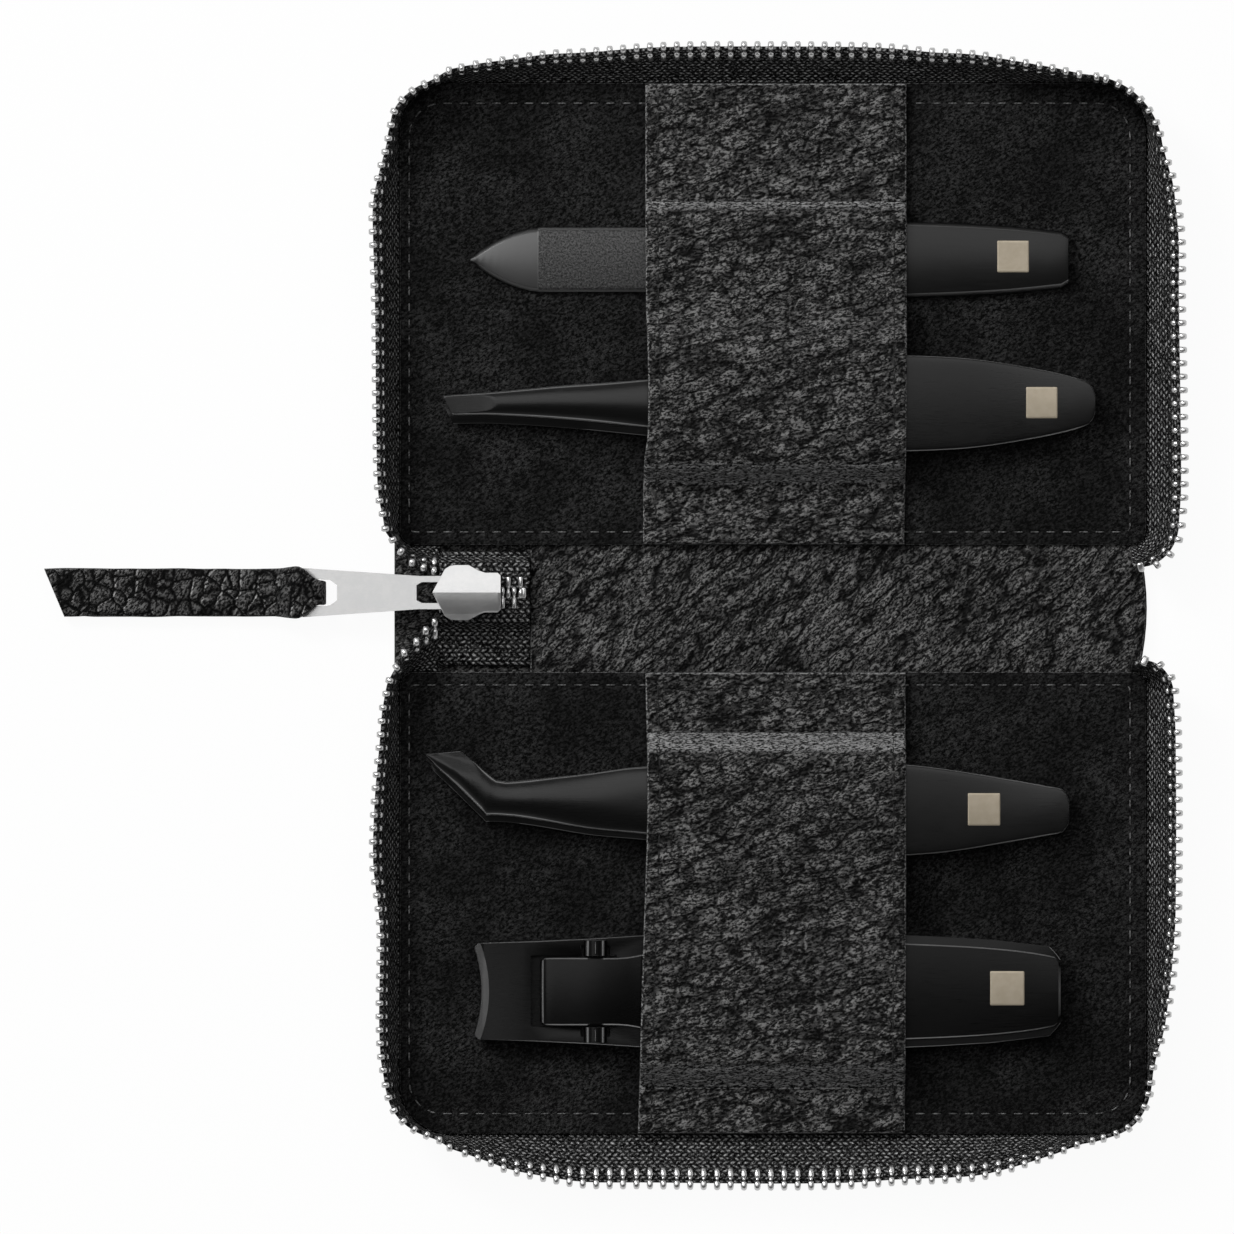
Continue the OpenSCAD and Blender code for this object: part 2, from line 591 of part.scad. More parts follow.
// Puller: a tapered plate with a window at each end, sloping down to the table
module puller() {
    n = puller_near_w / 2;
    f = puller_far_w / 2;
    nw = near_window_w / 2;
    fw = far_window_w / 2;
    far_window_x = -puller_len + bar_r;
    color("#cfd0d2") translate([bar_x, chain_y, loop_z]) rotate([0, -puller_fall, 0]) {
        difference() {
            translate([0, 0, -bar_r]) linear_extrude(puller_t) polygon([[0, n], [-4, n],
                [-puller_len + 1, f], [-puller_len - bar_r, f - 0.7], [-puller_len - bar_r, 0.7 - f],
                [-puller_len + 1, -f], [-4, -n], [0, -n]]);
            translate([0, 0, -puller_t]) linear_extrude(2 * puller_t) {
                polygon([[-bar_r, nw], [0.3 - near_window, nw], [-near_window - bar_r, nw - 0.4],
                         [-near_window - bar_r, 0.4 - nw], [0.3 - near_window, -nw], [-bar_r, -nw]]);
                polygon([[far_window_x, fw], [far_window_x + far_window - 1, fw - 0.2],
                         [far_window_x + far_window, fw - 0.9], [far_window_x + far_window, 0.9 - fw],
                         [far_window_x + far_window - 1, 0.2 - fw], [far_window_x, -fw]]);
            }
        }
        rotate([90, 0, 0]) cylinder(r = bar_r, h = 2 * n, center = true, $fn = round_fn);
    }
}

// Leather tab: a loop through the puller's window, a knot, and the flat doubled strip
module pull_tab() {
    hole_r = bar_r * 1.45 + 0.1;
    loop_w = far_window_w - 0.7;
    slide = 1.9;
    knot_x = -knot_r - 1.2;
    color("#1c1c1d") translate([far_bar_x, chain_y, far_bar_z]) {
        rotate([90, 0, 0]) difference() {
            union() {
                for (x = [0, slide]) translate([x, 0, 0])
                    cylinder(r = knot_r, h = loop_w, center = true, $fn = round_fn);
                translate([slide / 2, 0, 0]) cube([slide, 2 * knot_r, loop_w], center = true);
            }
            for (x = [0, slide]) translate([x, 0, 0])
                cylinder(r = hole_r, h = loop_w + 1, center = true, $fn = round_fn);
            translate([slide / 2, 0, 0]) cube([slide, 2 * hole_r, loop_w + 1], center = true);
        }
        translate([knot_x, 0, 0]) rotate([90, 0, 0])
            cylinder(r = knot_r, h = tab_w - 0.6, center = true, $fn = round_fn);
        translate([0, 0, -knot_r]) linear_extrude(tab_t) polygon([[knot_x, tab_w / 2],
            [-tab_len, tab_w / 2], [-tab_len + tab_slant, -tab_w / 2], [knot_x, -tab_w / 2]]);
    }
}

// Steel ring of 11 points: flat on one side, crowned on the other, between a low and a high
// edge point. z0 is the flat side, z1 the crowned side's edge; facet caps the crown.
function steel_ring(lo, hi, z0, z1, crown, facet = 99) = let(s = z1 > z0 ? 1 : -1) concat(
    [[lo[0], lo[1], z0], [hi[0], hi[1], z0]],
    [for (i = [0:8]) let(t = 1 - i / 8, p = mix(lo, hi, t))
        [p[0], p[1], z0 + s * min(abs(z1 - z0) + crown * (1 - pow(2 * t - 1, 2)), facet)]]);

// Nail file: leaf-shaped tip, flat gritted blade, thicker bevelled handle
module nail_file() {
    tip = 9.7;
    blade_end = file_len * 0.59;
    taper = file_len * 0.735;
    half = [[0, 0.15], [tip * 0.18, file_w * 0.17], [tip * 0.5, file_w * 0.36], [tip * 0.8, file_w * 0.47],
            [tip, file_w / 2], [blade_end, file_w / 2], [blade_end + 6, file_handle_w / 2],
            [taper, file_handle_w / 2], [file_len - 10, mix(file_end_w, file_handle_w, 0.68) / 2],
            [file_len - 3.4, mix(file_end_w, file_handle_w, 0.3) / 2], [file_len - 1, file_end_w / 2 + 0.2],
            [file_len, file_end_w / 2 - 0.4]];
    xs = concat([for (i = [0:9]) tip * pow(i / 9, 1.3)], [blade_end],
                [for (i = [1:3]) blade_end + 2 * i], [for (i = [0:6]) mix(taper, file_len - 1, i / 6)],
                [file_len - 0.4, file_len]);
    bevel = 0.6;
    color("#2a2a2c") translate([file_x - file_len, file_y, tool_z]) loft([for (x = xs)
        let(w = curve(half, x), t = curve([[0, file_blade_t], [blade_end, file_blade_t],
                [blade_end + 6, file_handle_t], [file_len, file_handle_t]], x),
            b = min(bevel, w / 2))
        [[x, w - b / 2, 0], [x, b / 2 - w, 0], [x, -w, t * 0.35], [x, -w, t * 0.6], [x, b - w, t],
         [x, w - b, t], [x, w, t * 0.6], [x, w, t * 0.35]]]);
}

// Distance of an arm's outer edge from the middle plane, along its length from the back
function arm_bow(x, full) = let(back = weld_h / 2 + arm_t, peak = arms_h / 2 - arm_crown)
    max(back, curve([[0, back], [weld_len, back], [full * 0.3, peak * 0.86], [full * 0.55, peak],
                     [full * 0.8, peak * 0.94], [full, peak * 0.76]], x));

// One arm of a pair of tweezers. stations are [from the back, high edge, low edge, slant];
// facet lists the thickness left by the ground tip
module tweezers_arm(stations, full, side, facet) {
    loft([for (s = side > 0 ? stations : [for (i = [len(stations) - 1:-1:0]) stations[i]])
        let(bow = arm_bow(s[0], full))
        steel_ring([-s[0] + s[3], s[2]], [-s[0] - s[3], s[1]], side * (bow - arm_t), side * bow,
            arm_crown * min(1, s[0] / 4 + 0.4), curve(facet, s[0]))]);
}

module weld_pad(w) {
    translate([-weld_len + 0.5, -w / 2, -weld_h / 2 - 0.1]) cube([weld_len - 1, w, weld_h + 0.1]);
}

// Outline of the slanted tweezers: half widths along the length from the back
tweezers_half = let(l = tweezers_len, w = tweezers_w / 2) [[0, w * 0.33], [0.9, w * 0.44],
    [l * 0.04, w * 0.58], [l * 0.1, w * 0.75], [l * 0.18, w * 0.92], [l * 0.24, w * 0.98], [l * 0.3, w],
    [l * 0.44, w * 0.89], [l * 0.69, w * 0.59], [l * 0.84, w * 0.43], [l * 0.91, w * 0.35],
    [l, tweezers_tip_w / 2]];
tweezers_stations = [for (x = concat([0, 0.5, 1.2], [for (i = [1:13]) tweezers_len * 0.91 * i / 13],
        [for (k = [0.935, 0.95, 0.965, 0.98, 1]) tweezers_len * k]))
    let(w = curve(tweezers_half, x),
        drop = curve([[0, 0], [tweezers_len * 0.7, 0], [tweezers_len, -0.8]], x))
    [x, drop + w, drop - w, curve([[0, 0], [tweezers_len * 0.9, 0], [tweezers_len, 0.8]], x)]];
tweezers_facet = [[0, 9], [tweezers_len * 0.93, 9], [tweezers_len * 0.94, arm_t + arm_crown],
                  [tweezers_len, 0.35]];

module tweezers_place() {
    translate([tweezers_x, tweezers_y, mid_z]) children();
}
module tweezers_upper_arm() {
    color("#161617") tweezers_place()
        tweezers_arm(tweezers_stations, tweezers_len, 1, tweezers_facet);
}
module tweezers_lower_arm() {
    color("#161617") tweezers_place() {
        tweezers_arm(tweezers_stations, tweezers_len, -1, tweezers_facet);
        weld_pad(tweezers_w * 0.4);
    }
}

// Claw tip of the cuticle tweezers as pairs of edge points, counted from the tip:
// high edge point, then low edge point
claw = [[[0, 7.6], [0.3, 7.3]], [[2.2, 7.8], [2.2, 5.4]], [[4.7, 8], [4.7, 2.9]],
        [[7.8, 6.2], [6.7, 0.9]],
        [[11.2, 4], [8.5, -0.8]], [[15, 3.7], [13.2, -1.5]], [[19.5, 3.8], [19, -2.1]],
        [[25, 4.3], [24.6, -2.8]]];
cuticle_half = let(l = cuticle_len, w = cuticle_w / 2) [[0, w * 0.36], [1, w * 0.46], [l * 0.09, w * 0.66],
    [l * 0.18, w * 0.88], [l * 0.25, w * 0.98], [l * 0.32, w], [l * 0.45, w * 0.93], [l * 0.6, w * 0.78],
    [l * 0.72, w * 0.6]];
cuticle_body = [for (x = concat([0, 0.5, 1.2], [for (i = [1:9]) cuticle_len * 0.68 * i / 9]))
    let(w = curve(cuticle_half, x),
        lift = curve([[0, 0], [cuticle_len * 0.5, 0], [cuticle_len * 0.72, 0.75]], x))
    [x, lift + w, lift - w, 0]];

module cuticle_arm(side) {
    back = [for (s = cuticle_body) let(bow = arm_bow(s[0], cuticle_len))
        steel_ring([-s[0], s[2]], [-s[0], s[1]], side * (bow - arm_t), side * bow,
            arm_crown * min(1, s[0] / 4 + 0.4))];
    tip = [for (i = [len(claw) - 1:-1:0])
        let(hi = claw[i][0], lo = claw[i][1], x = cuticle_len - (hi[0] + lo[0]) / 2,
            bow = arm_bow(x, cuticle_len))
        steel_ring([lo[0] - cuticle_len, lo[1]], [hi[0] - cuticle_len, hi[1]], side * (bow - arm_t),
            side * bow, arm_crown, i < 4 ? mix(0.3, arm_t + arm_crown, i / 4) : 9)];
    rings = concat(back, tip);
    loft(side > 0 ? rings : [for (i = [len(rings) - 1:-1:0]) rings[i]]);
}
module cuticle_place() {
    translate([cuticle_x, -cuticle_y, mid_z]) children();
}
module cuticle_upper_arm() { color("#161617") cuticle_place() cuticle_arm(1); }
module cuticle_lower_arm() {
    color("#161617") cuticle_place() {
        cuticle_arm(-1);
        weld_pad(cuticle_w * 0.4);
    }
}

// Nail clipper, in a frame whose x runs back from the cutting edge
jaw2_z = tool_z + jaw_t + jaw_gap;
lever_z = jaw2_z + jaw_t + fit;
lever_top = lever_z + lever_t + 0.15;
pin_z = lever_z + 1.3;
hub_r = pin_r + pin_fit + 0.6;
ear_w = 1;
ear_len = 3.2;
ear_in = lever_neck_w / 2 + 0.3;
ear_out = ear_in + ear_w + 1.1;
ear_room = 0.35;
// The strap clears the lever, and the ears as well if they come under it
ears_end = clipper_x - clipper_len + pin_x + ear_len / 2;
clipper_top = ears_end + fit > strap_x - strap_w / 2 ? pin_z + ear_len / 2 : lever_top;
slot_x = 8.1;
slot_end = pin_x + ear_len / 2 + 1.4;
front_t = 7;
nose_len = 8.1;

module clipper_place() {
    translate([clipper_x - clipper_len, -clipper_y, 0]) children();
}

clipper_half = let(e = clipper_edge_w / 2, w = clipper_w / 2, b = clipper_end_w / 2, l = clipper_len)
    [[0, e], [l * 0.16, e + 0.45], [l * 0.35, w * 0.98], [l * 0.5, w], [l * 0.75, w * 0.95], [l - 1.5, b],
     [l, b - 1.8]];

// Outline of a jaw: hollow front edge, swelling sides, rounded back
module jaw_outline() {
    front_drop = edge_r - sqrt(edge_r * edge_r - pow(clipper_edge_w / 2, 2));
    xs = concat([0, 0.9], [for (i = [1:10]) mix(0.9, clipper_len - 1.5, i / 10)],
                [clipper_len - 0.5, clipper_len]);
    side = [for (x = xs) [x, curve(clipper_half, x) - (x == 0 ? 0.7 : 0)]];
    difference() {
        polygon(concat(side, [for (i = [len(side) - 1:-1:0]) [side[i][0], -side[i][1]]]));
        translate([front_drop - edge_r, 0]) circle(r = edge_r, $fn = 160);
    }
}

// Side view of a jaw, from a flat plate to the cutting edge, edge_z high at its tip
module jaw_side(z, edge_z, up) {
    t = jaw_t;
    translate([0, clipper_w, 0]) rotate([90, 0, 0]) linear_extrude(2 * clipper_w)
        polygon([[0, edge_z], [0, edge_z + up * 0.35], [1.6, edge_z + up * 0.95], [front_t, z + up * t],
                 [clipper_len, z + up * t], [clipper_len, z], [front_t + 1, z], [1.4, edge_z + up * 0.12]]);
}

module clipper_lower_jaw() {
    color("#151516") clipper_place() difference() {
        union() {
            intersection() {
                linear_extrude(20) jaw_outline();
                jaw_side(tool_z + jaw_t, jaw2_z - jaw_gap / 2 - bite_gap / 2, -1);
            }
            for (side = [-1, 1]) {
                translate([pin_x - ear_len / 2, side * (ear_in + ear_w / 2) - ear_w / 2,
                           tool_z + jaw_t - 0.3])
                    cube([ear_len, ear_w, pin_z - tool_z - jaw_t + 0.3]);
                intersection() {
                    translate([pin_x, side * (ear_in + ear_out) / 2, pin_z]) rotate([90, 0, 0])
                        cylinder(d = ear_len, h = ear_out - ear_in, center = true, $fn = round_fn);
                    translate([0, -clipper_w, pin_z - 0.45]) cube([clipper_len, 2 * clipper_w, ear_len]);
                }
            }
        }
        translate([pin_x, 0, pin_z]) rotate([90, 0, 0])
            cylinder(r = pin_r, h = 2 * (ear_out - 0.3), center = true, $fn = round_fn);
        translate([clipper_len - rivet_x, 0, 0]) cylinder(r = rivet_r, h = 20, $fn = round_fn);
    }
}

module clipper_upper_jaw() {
    color("#151516") clipper_place() difference() {
        intersection() {
            linear_extrude(20) jaw_outline();
            jaw_side(jaw2_z, jaw2_z - jaw_gap / 2 + bite_gap / 2, 1);
        }
        translate([slot_x, -lever_neck_w / 2 - 0.3, 0])
            cube([slot_end - slot_x, lever_neck_w + 0.6, 20]);
        translate([pin_x - ear_len / 2 - ear_room, -ear_in - ear_w - ear_room, 0])
            cube([ear_len + 2 * ear_room, 2 * (ear_in + ear_w + ear_room), 20]);
        translate([clipper_len - rivet_x, 0, 0]) cylinder(r = rivet_r + pin_fit, h = 20, $fn = round_fn);
    }
}

// Rear rivet with the spacer ring that keeps the jaws apart
module clipper_rear_rivet() {
    color("#1d1d1e") clipper_place() translate([clipper_len - rivet_x, 0, 0]) {
        translate([0, 0, tool_z]) cylinder(r = rivet_r, h = jaw2_z + jaw_t - tool_z - 0.2, $fn = round_fn);
        translate([0, 0, tool_z + jaw_t]) cylinder(r = rivet_r + 1.4, h = jaw_gap, $fn = round_fn);
    }
}

module clipper_cross_pin() {
    color("#1d1d1e") clipper_place() translate([pin_x, 0, pin_z]) rotate([90, 0, 0])
        cylinder(r = pin_r, h = 2 * (ear_out - 0.3), center = true, $fn = round_fn);
}

// Lever: a bevelled plate whose neck carries the hub that turns on the cross pin
module clipper_lever() {
    front = pin_x - nose_len;
    l = clipper_len - front;
    nw = lever_neck_w / 2;
    w = lever_w / 2;
    neck = l * 0.165;
    full = l * 0.33;
    half = [[0, nw - 0.5], [1, nw], [neck, nw], [mix(neck, full, 0.5), mix(nw, w, 0.75)], [full, w],
            [l * 0.6, w], [l * 0.8, w * 0.93], [l - 1.2, w * 0.72], [l, w * 0.5]];
    xs = concat([0, 0.3, 1, neck / 2], [for (i = [0:5]) mix(neck, full, i / 5)],
                [for (i = [1:6]) mix(full, l - 1.2, i / 6)], [l - 0.4, l]);
    bevel = 0.9;
    drop = function(x) x < 1 ? 0.55 * pow(1 - x, 2) : 0;
    color("#121213") clipper_place() difference() {
        union() {
            translate([front, 0, lever_z]) loft([for (x = xs)
                let(v = curve(half, x), b = min(bevel, v / 3), t = lever_t - drop(x))
                [[x, v, drop(x) * 0.4], [x, -v, drop(x) * 0.4], [x, -v, t * 0.55], [x, b - v, t],
                 [x, -v * 0.4, t + 0.12], [x, v * 0.4, t + 0.12], [x, v - b, t], [x, v, t * 0.55]]]);
            translate([pin_x, 0, pin_z]) rotate([90, 0, 0])
                cylinder(r = hub_r, h = lever_neck_w, center = true, $fn = round_fn);
        }
        translate([pin_x, 0, pin_z]) rotate([90, 0, 0])
            cylinder(r = pin_r + pin_fit, h = 2 * clipper_w, center = true, $fn = round_fn);
    }
}

lower_cover();
lower_board();
lower_lining();
lower_strap();
lower_zip_tape();
lower_zip_teeth();
lower_top_stop();
spine_cover();
spine_lining();
zip_end_tape();
joined_teeth();
bottom_stop();
slider_body();
slider_cap();
puller();
pull_tab();
upper_cover();
upper_board();
upper_lining();
upper_strap();
upper_zip_tape();
upper_zip_teeth();
upper_top_stop();
nail_file();
tweezers_lower_arm();
tweezers_upper_arm();
cuticle_lower_arm();
cuticle_upper_arm();
clipper_lower_jaw();
clipper_upper_jaw();
clipper_rear_rivet();
clipper_cross_pin();
clipper_lever();
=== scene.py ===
# Zip-round leather manicure case, lying open: the looks that go over its fixed CAD frame.
import math
import random
import bmesh
import bpy
import numpy as np
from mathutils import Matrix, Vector
from mathutils.bvhtree import BVHTree


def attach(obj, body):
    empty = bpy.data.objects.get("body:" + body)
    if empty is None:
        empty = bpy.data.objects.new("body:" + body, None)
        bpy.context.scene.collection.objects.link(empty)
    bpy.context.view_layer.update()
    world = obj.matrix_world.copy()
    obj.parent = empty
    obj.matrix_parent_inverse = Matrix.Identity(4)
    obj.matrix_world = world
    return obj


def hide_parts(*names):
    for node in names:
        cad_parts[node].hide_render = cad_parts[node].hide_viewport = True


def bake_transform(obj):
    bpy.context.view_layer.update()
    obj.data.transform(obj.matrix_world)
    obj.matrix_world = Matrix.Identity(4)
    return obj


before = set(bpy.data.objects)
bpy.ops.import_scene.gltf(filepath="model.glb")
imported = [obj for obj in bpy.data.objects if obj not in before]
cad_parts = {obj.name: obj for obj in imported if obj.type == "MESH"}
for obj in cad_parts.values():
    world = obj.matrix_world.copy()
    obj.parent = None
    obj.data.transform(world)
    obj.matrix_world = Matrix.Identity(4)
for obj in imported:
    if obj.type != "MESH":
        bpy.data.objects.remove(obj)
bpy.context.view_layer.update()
mm = 0.001
print("frame loaded with", len(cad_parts), "nodes")


# Shader maths: an output wire whose operators add Math nodes
class Wire:
    def __init__(self, paint, socket):
        self.paint, self.socket = paint, socket

    def math(self, kind, first, second=None):
        sockets = {0: first} if second is None else {0: first, 1: second}
        return self.paint.node("ShaderNodeMath", {"operation": kind}, sockets)

    def __add__(self, other): return self.math("ADD", self, other)
    def __radd__(self, other): return self.math("ADD", other, self)
    def __sub__(self, other): return self.math("SUBTRACT", self, other)
    def __rsub__(self, other): return self.math("SUBTRACT", other, self)
    def __mul__(self, other): return self.math("MULTIPLY", self, other)
    def __rmul__(self, other): return self.math("MULTIPLY", other, self)
    def __truediv__(self, other): return self.math("DIVIDE", self, other)
    def __rtruediv__(self, other): return self.math("DIVIDE", other, self)
    def __pow__(self, other): return self.math("POWER", self, other)
    def __rpow__(self, other): return self.math("POWER", other, self)


class Paint:
    def __init__(self, name, owner=None):
        self.material = owner or bpy.data.materials.new(name)
        self.material.use_nodes = True
        self.tree = self.material.node_tree
        self.tree.nodes.clear()

    # Any node: its type, the settings that come first, its sockets' values or wires
    def node(self, kind, settings=None, sockets=None, out=0):
        made = self.tree.nodes.new(kind)
        for key, value in (settings or {}).items():
            setattr(made, key, value)
        for key, value in (sockets or {}).items():
            if isinstance(value, Wire):
                self.tree.links.new(value.socket, made.inputs[key])
            else:
                made.inputs[key].default_value = value
        return Wire(self, made.outputs[out])

    def place(self, kind="Object"):
        return self.node("ShaderNodeTexCoord", out=kind)

    def vector(self, kind, first, second):
        sockets = {0: first, "Scale": second} if kind == "SCALE" else {0: first, 1: second}
        return self.node("ShaderNodeVectorMath", {"operation": kind}, sockets)

    def turned(self, at, turn=0.0, stretch=1.0, shift=(0, 0, 0)):   # stretch is along the turned direction
        return self.node("ShaderNodeMapping", {"vector_type": "TEXTURE"},
                         {"Vector": at, "Location": shift, "Rotation": (0, 0, turn), "Scale": (stretch, 1, 1)})

    def noise(self, at, size, detail=2.0, rough=0.5, out=0):
        return self.node("ShaderNodeTexNoise", sockets={"Vector": at, "Scale": 1 / (size * mm),
                         "Detail": detail, "Roughness": rough}, out=out)

    def cells(self, at, size):                             # distance to the nearest edge between cells
        return self.node("ShaderNodeTexVoronoi", {"feature": "DISTANCE_TO_EDGE"},
                         {"Vector": at, "Scale": 1 / (size * mm)})

    def part(self, vector, axis):                          # one number of a vector: x, y or z
        return self.node("ShaderNodeSeparateXYZ", sockets={0: vector}, out="xyz".index(axis))

    def blendColour(self, factor, first, second):
        return self.node("ShaderNodeMix", {"data_type": "RGBA"}, {0: factor, 6: first, 7: second}, 2)

    def step(self, value, low, high):                      # smooth 0 to 1 between two levels
        return self.node("ShaderNodeMapRange", {"interpolation_type": "SMOOTHSTEP"},
                         {"Value": value, "From Min": low, "From Max": high})

    def bump(self, height, depth, normal=None):
        sockets = {"Height": height, "Distance": depth * mm}
        if normal:
            sockets["Normal"] = normal
        return self.node("ShaderNodeBump", sockets=sockets)

    def finish(self, **sockets):
        named = {key.replace("_", " "): value for key, value in sockets.items()}
        return self.show(self.node("ShaderNodeBsdfPrincipled", sockets=named))

    def show(self, shader, kind="Material"):
        end = self.tree.nodes.new("ShaderNodeOutput" + kind)
        self.tree.links.new(shader.socket, end.inputs["Surface"])
        return self.material

    def cutEdge(self):                                     # the rounded rim of a cut sheet
        tilt = self.part(self.place("Normal"), "z")
        tilt = tilt.math("ABSOLUTE", tilt)
        return self.step(tilt, 0.88, 0.6) * self.step(tilt, 0.05, 0.3)

    def seenRay(self):                                     # the camera, and what metal mirrors
        way = [self.node("ShaderNodeLightPath", out="Is %s Ray" % k) for k in ("Camera", "Glossy", "Transmission")]
        return way[0].math("MINIMUM", way[0] + way[1] + way[2], 1.0)


def grey(level, warm=0.0):
    return (level * (1 + warm), level, level * (1 - warm), 1)


# Leather: domed pebbles between grooves, with a painted highlight on their left rims and painted shade in the grooves
# and creases, longer creases and a fine grain over all;
# cell is a pebble's size in mm, raw the tone of the cut edge
# groove sets the painted shade in the grooves, crease the painted shade and the dip along the creases
leatherLook = {
    "cover": dict(cell=1.6, stretch=1.2, turn=0.3, groove=0.6, crease=0.4, light=0.1, rimHighlight=0.16, relief=0.3,
                  grain=0.07, raw=0.05),
    "strap": dict(cell=2.2, stretch=1.5, turn=0.3, groove=0.62, crease=0.7, light=0.15, rimHighlight=0.24, relief=0.36,
                  grain=0.1, raw=0.26),
    "spine": dict(cell=1.7, stretch=3.0, turn=0.72, groove=0.5, crease=0.85, light=0.135, rimHighlight=0.16, relief=0.3,
                  grain=0.1, raw=0.16),
    "tab": dict(cell=2.2, stretch=1.15, turn=0.9, groove=0.95, crease=0.2, light=0.11, rimHighlight=0.5, relief=0.4,
                grain=0.07, raw=0.1),
}


def leather(name, cell, stretch, turn, groove, crease, light, rimHighlight, relief, grain, raw):
    p = Paint(name)
    at = p.place()
    drift = p.vector("SCALE", p.vector("SUBTRACT", p.noise(at, 2.6, 2.0, out=1), (0.5, 0.5, 0.5)), 1.5 * mm)
    warped = p.vector("ADD", at, drift)
    edge = p.cells(p.turned(warped, turn, stretch), cell)
    # painted highlight: the cell edges looked up a little to one side, so that they fall just inside each pebble's left
    # rim
    rimHighlightEdge = p.cells(p.turned(warped, turn, stretch, (0.28 * mm, -0.05 * mm, 0)), cell)
    small = p.cells(p.turned(warped, turn + 0.8, 1.2), cell * 0.42)
    pebble = p.step(edge, 0.01, 0.2)
    wander = p.noise(p.turned(warped, turn, 3.2), 2.4, 1.0)
    # creases: a dip in the bump and painted shade in the colour
    fold = 1 - crease * p.step(wander.math("ABSOLUTE", wander - 0.5), 0.07, 0.0)
    rim = pebble * p.step(rimHighlightEdge, 0.075, 0.0)
    fine = p.noise(p.turned(at, turn, 1.8), 0.3, 2.0, 0.7)
    patch = p.noise(at, 5, 2.0)
    height = p.step(edge, 0.0, 0.42) * 0.8 + p.step(small, 0.0, 0.25) * 0.12 + patch * 0.4 + fold * 0.5
    speck = p.step(fine, 0.43, 0.6)
    # colour level: painted shade in the grooves and creases, times the grain and the patches' own tone
    paintedLightAndTone = (1 - groove + groove * pebble) * (0.1 + 0.9 * speck) * fold * (0.4 + 1.2 * patch)
    body = p.blendColour(paintedLightAndTone ** 1.25, grey(0.0007), grey(light, 0.01))
    # painted highlight along each pebble's left rim, in a lighter grey
    colour = p.blendColour(rim * p.step(fine, 0.42, 0.58) * p.step(patch, 0.35, 0.6), body, grey(rimHighlight, 0.01))
    colour = p.blendColour(p.cutEdge() * p.step(fine, 0.4, 0.62), colour, grey(raw))
    normal = p.bump(fine, grain, p.bump(height, relief))
    return p.finish(Base_Color=colour, Roughness=0.6 - 0.12 * pebble + 0.1 * fine, Normal=normal,
                    Specular_IOR_Level=0.04)


suedeLook = dict(dark=0.0006, light=0.042, raw=0.12, nap=0.34, patch=9.0)


def suede(name, dark, light, raw, nap, patch):
    p = Paint(name)
    at = p.place()
    fibre = p.noise(p.turned(at, 0.5, 1.5), nap, 3.0, 0.8)
    brushed = p.noise(at, patch, 3.0, 0.6)
    shade = p.step(fibre, 0.38, 0.74) * (0.4 + 0.6 * p.step(brushed, 0.35, 0.7))
    colour = p.blendColour(shade, grey(dark), grey(light))
    colour = p.blendColour(p.cutEdge() * p.step(fibre, 0.4, 0.6), colour, grey(raw))
    return p.finish(Base_Color=colour, Roughness=0.93 + 0.07 * fibre,
                    Normal=p.bump(fibre, 0.1), Specular_IOR_Level=0.08)


boardLook = dict(dark=0.11, light=0.24, fibre=1.2)


def board(name, dark, light, fibre):
    p = Paint(name)
    at = p.place()
    strand = p.noise(p.turned(at, stretch=5), fibre * 0.3, 4.0, 0.7)
    colour = p.blendColour(strand, (dark, dark * 0.78, dark * 0.55, 1), (light, light * 0.8, light * 0.58, 1))
    return p.finish(Base_Color=colour, Roughness=0.85 + 0.1 * strand, Normal=p.bump(strand, 0.05))


# Woven tape: rows of yarn that lean left and right in turn, by the piece's own map in mm, with a painted highlight on
# the yarn tops and painted shade between them
# light is the tone of the painted highlight on the yarn tops
tapeLook = dict(row=0.6, yarn=0.95, dark=0.0006, light=0.42)


def wovenTape(name, row, yarn, dark, light):
    p = Paint(name)
    uv = p.node("ShaderNodeUVMap", {"uv_map": "weave"})
    u, v = p.part(uv, "x"), p.part(uv, "y")
    line = v / row
    across = line.math("FRACT", line)
    odd = line.math("MODULO", line.math("FLOOR", line), 2.0)
    lean = (across - 0.5) * (1 - 2 * odd) * 0.5 + odd * 0.5
    along = line.math("FRACT", u / yarn + lean)
    ridge = p.step(line.math("ABSOLUTE", along - 0.5), 0.42, 0.1)
    swell = p.step(line.math("ABSOLUTE", across - 0.5), 0.5, 0.12)
    bits = p.noise(p.place(), 0.4, 2.0, 0.8)
    height = ridge * swell
    # painted highlight on the yarn tops and painted shade between them, mottled by noise
    paintedLightAndTone = (0.05 + 0.95 * height) * p.step(bits, 0.38, 0.7)
    return p.finish(Base_Color=p.blendColour(paintedLightAndTone, grey(dark), grey(light)), Roughness=0.8 - 0.2 * paintedLightAndTone,
                    Normal=p.bump(height, 0.16), Specular_IOR_Level=0.04)


metalLook = {
    "zip": dict(tone=0.5, rough=0.2, scratch=0.02, metallic=1.0),
    "slider": dict(tone=0.45, rough=0.3, scratch=0.01, metallic=1.0),
}


def metal(name, tone, rough, scratch, metallic):
    p = Paint(name)
    at = p.place()
    wearAndEdgeHighlight = p.noise(at, 1.6, 4.0, 0.65)
    hair = p.noise(p.turned(at, 0.4, 16), 0.12, 2.0, 0.6)
    colour = p.blendColour(p.step(wearAndEdgeHighlight, 0.35, 0.7), grey(tone * 0.93), grey(tone, 0.005))
    return p.finish(Base_Color=colour, Metallic=metallic, Roughness=rough * 0.8 + 0.14 * wearAndEdgeHighlight + 0.08 * hair,
                    Normal=p.bump(hair, scratch))


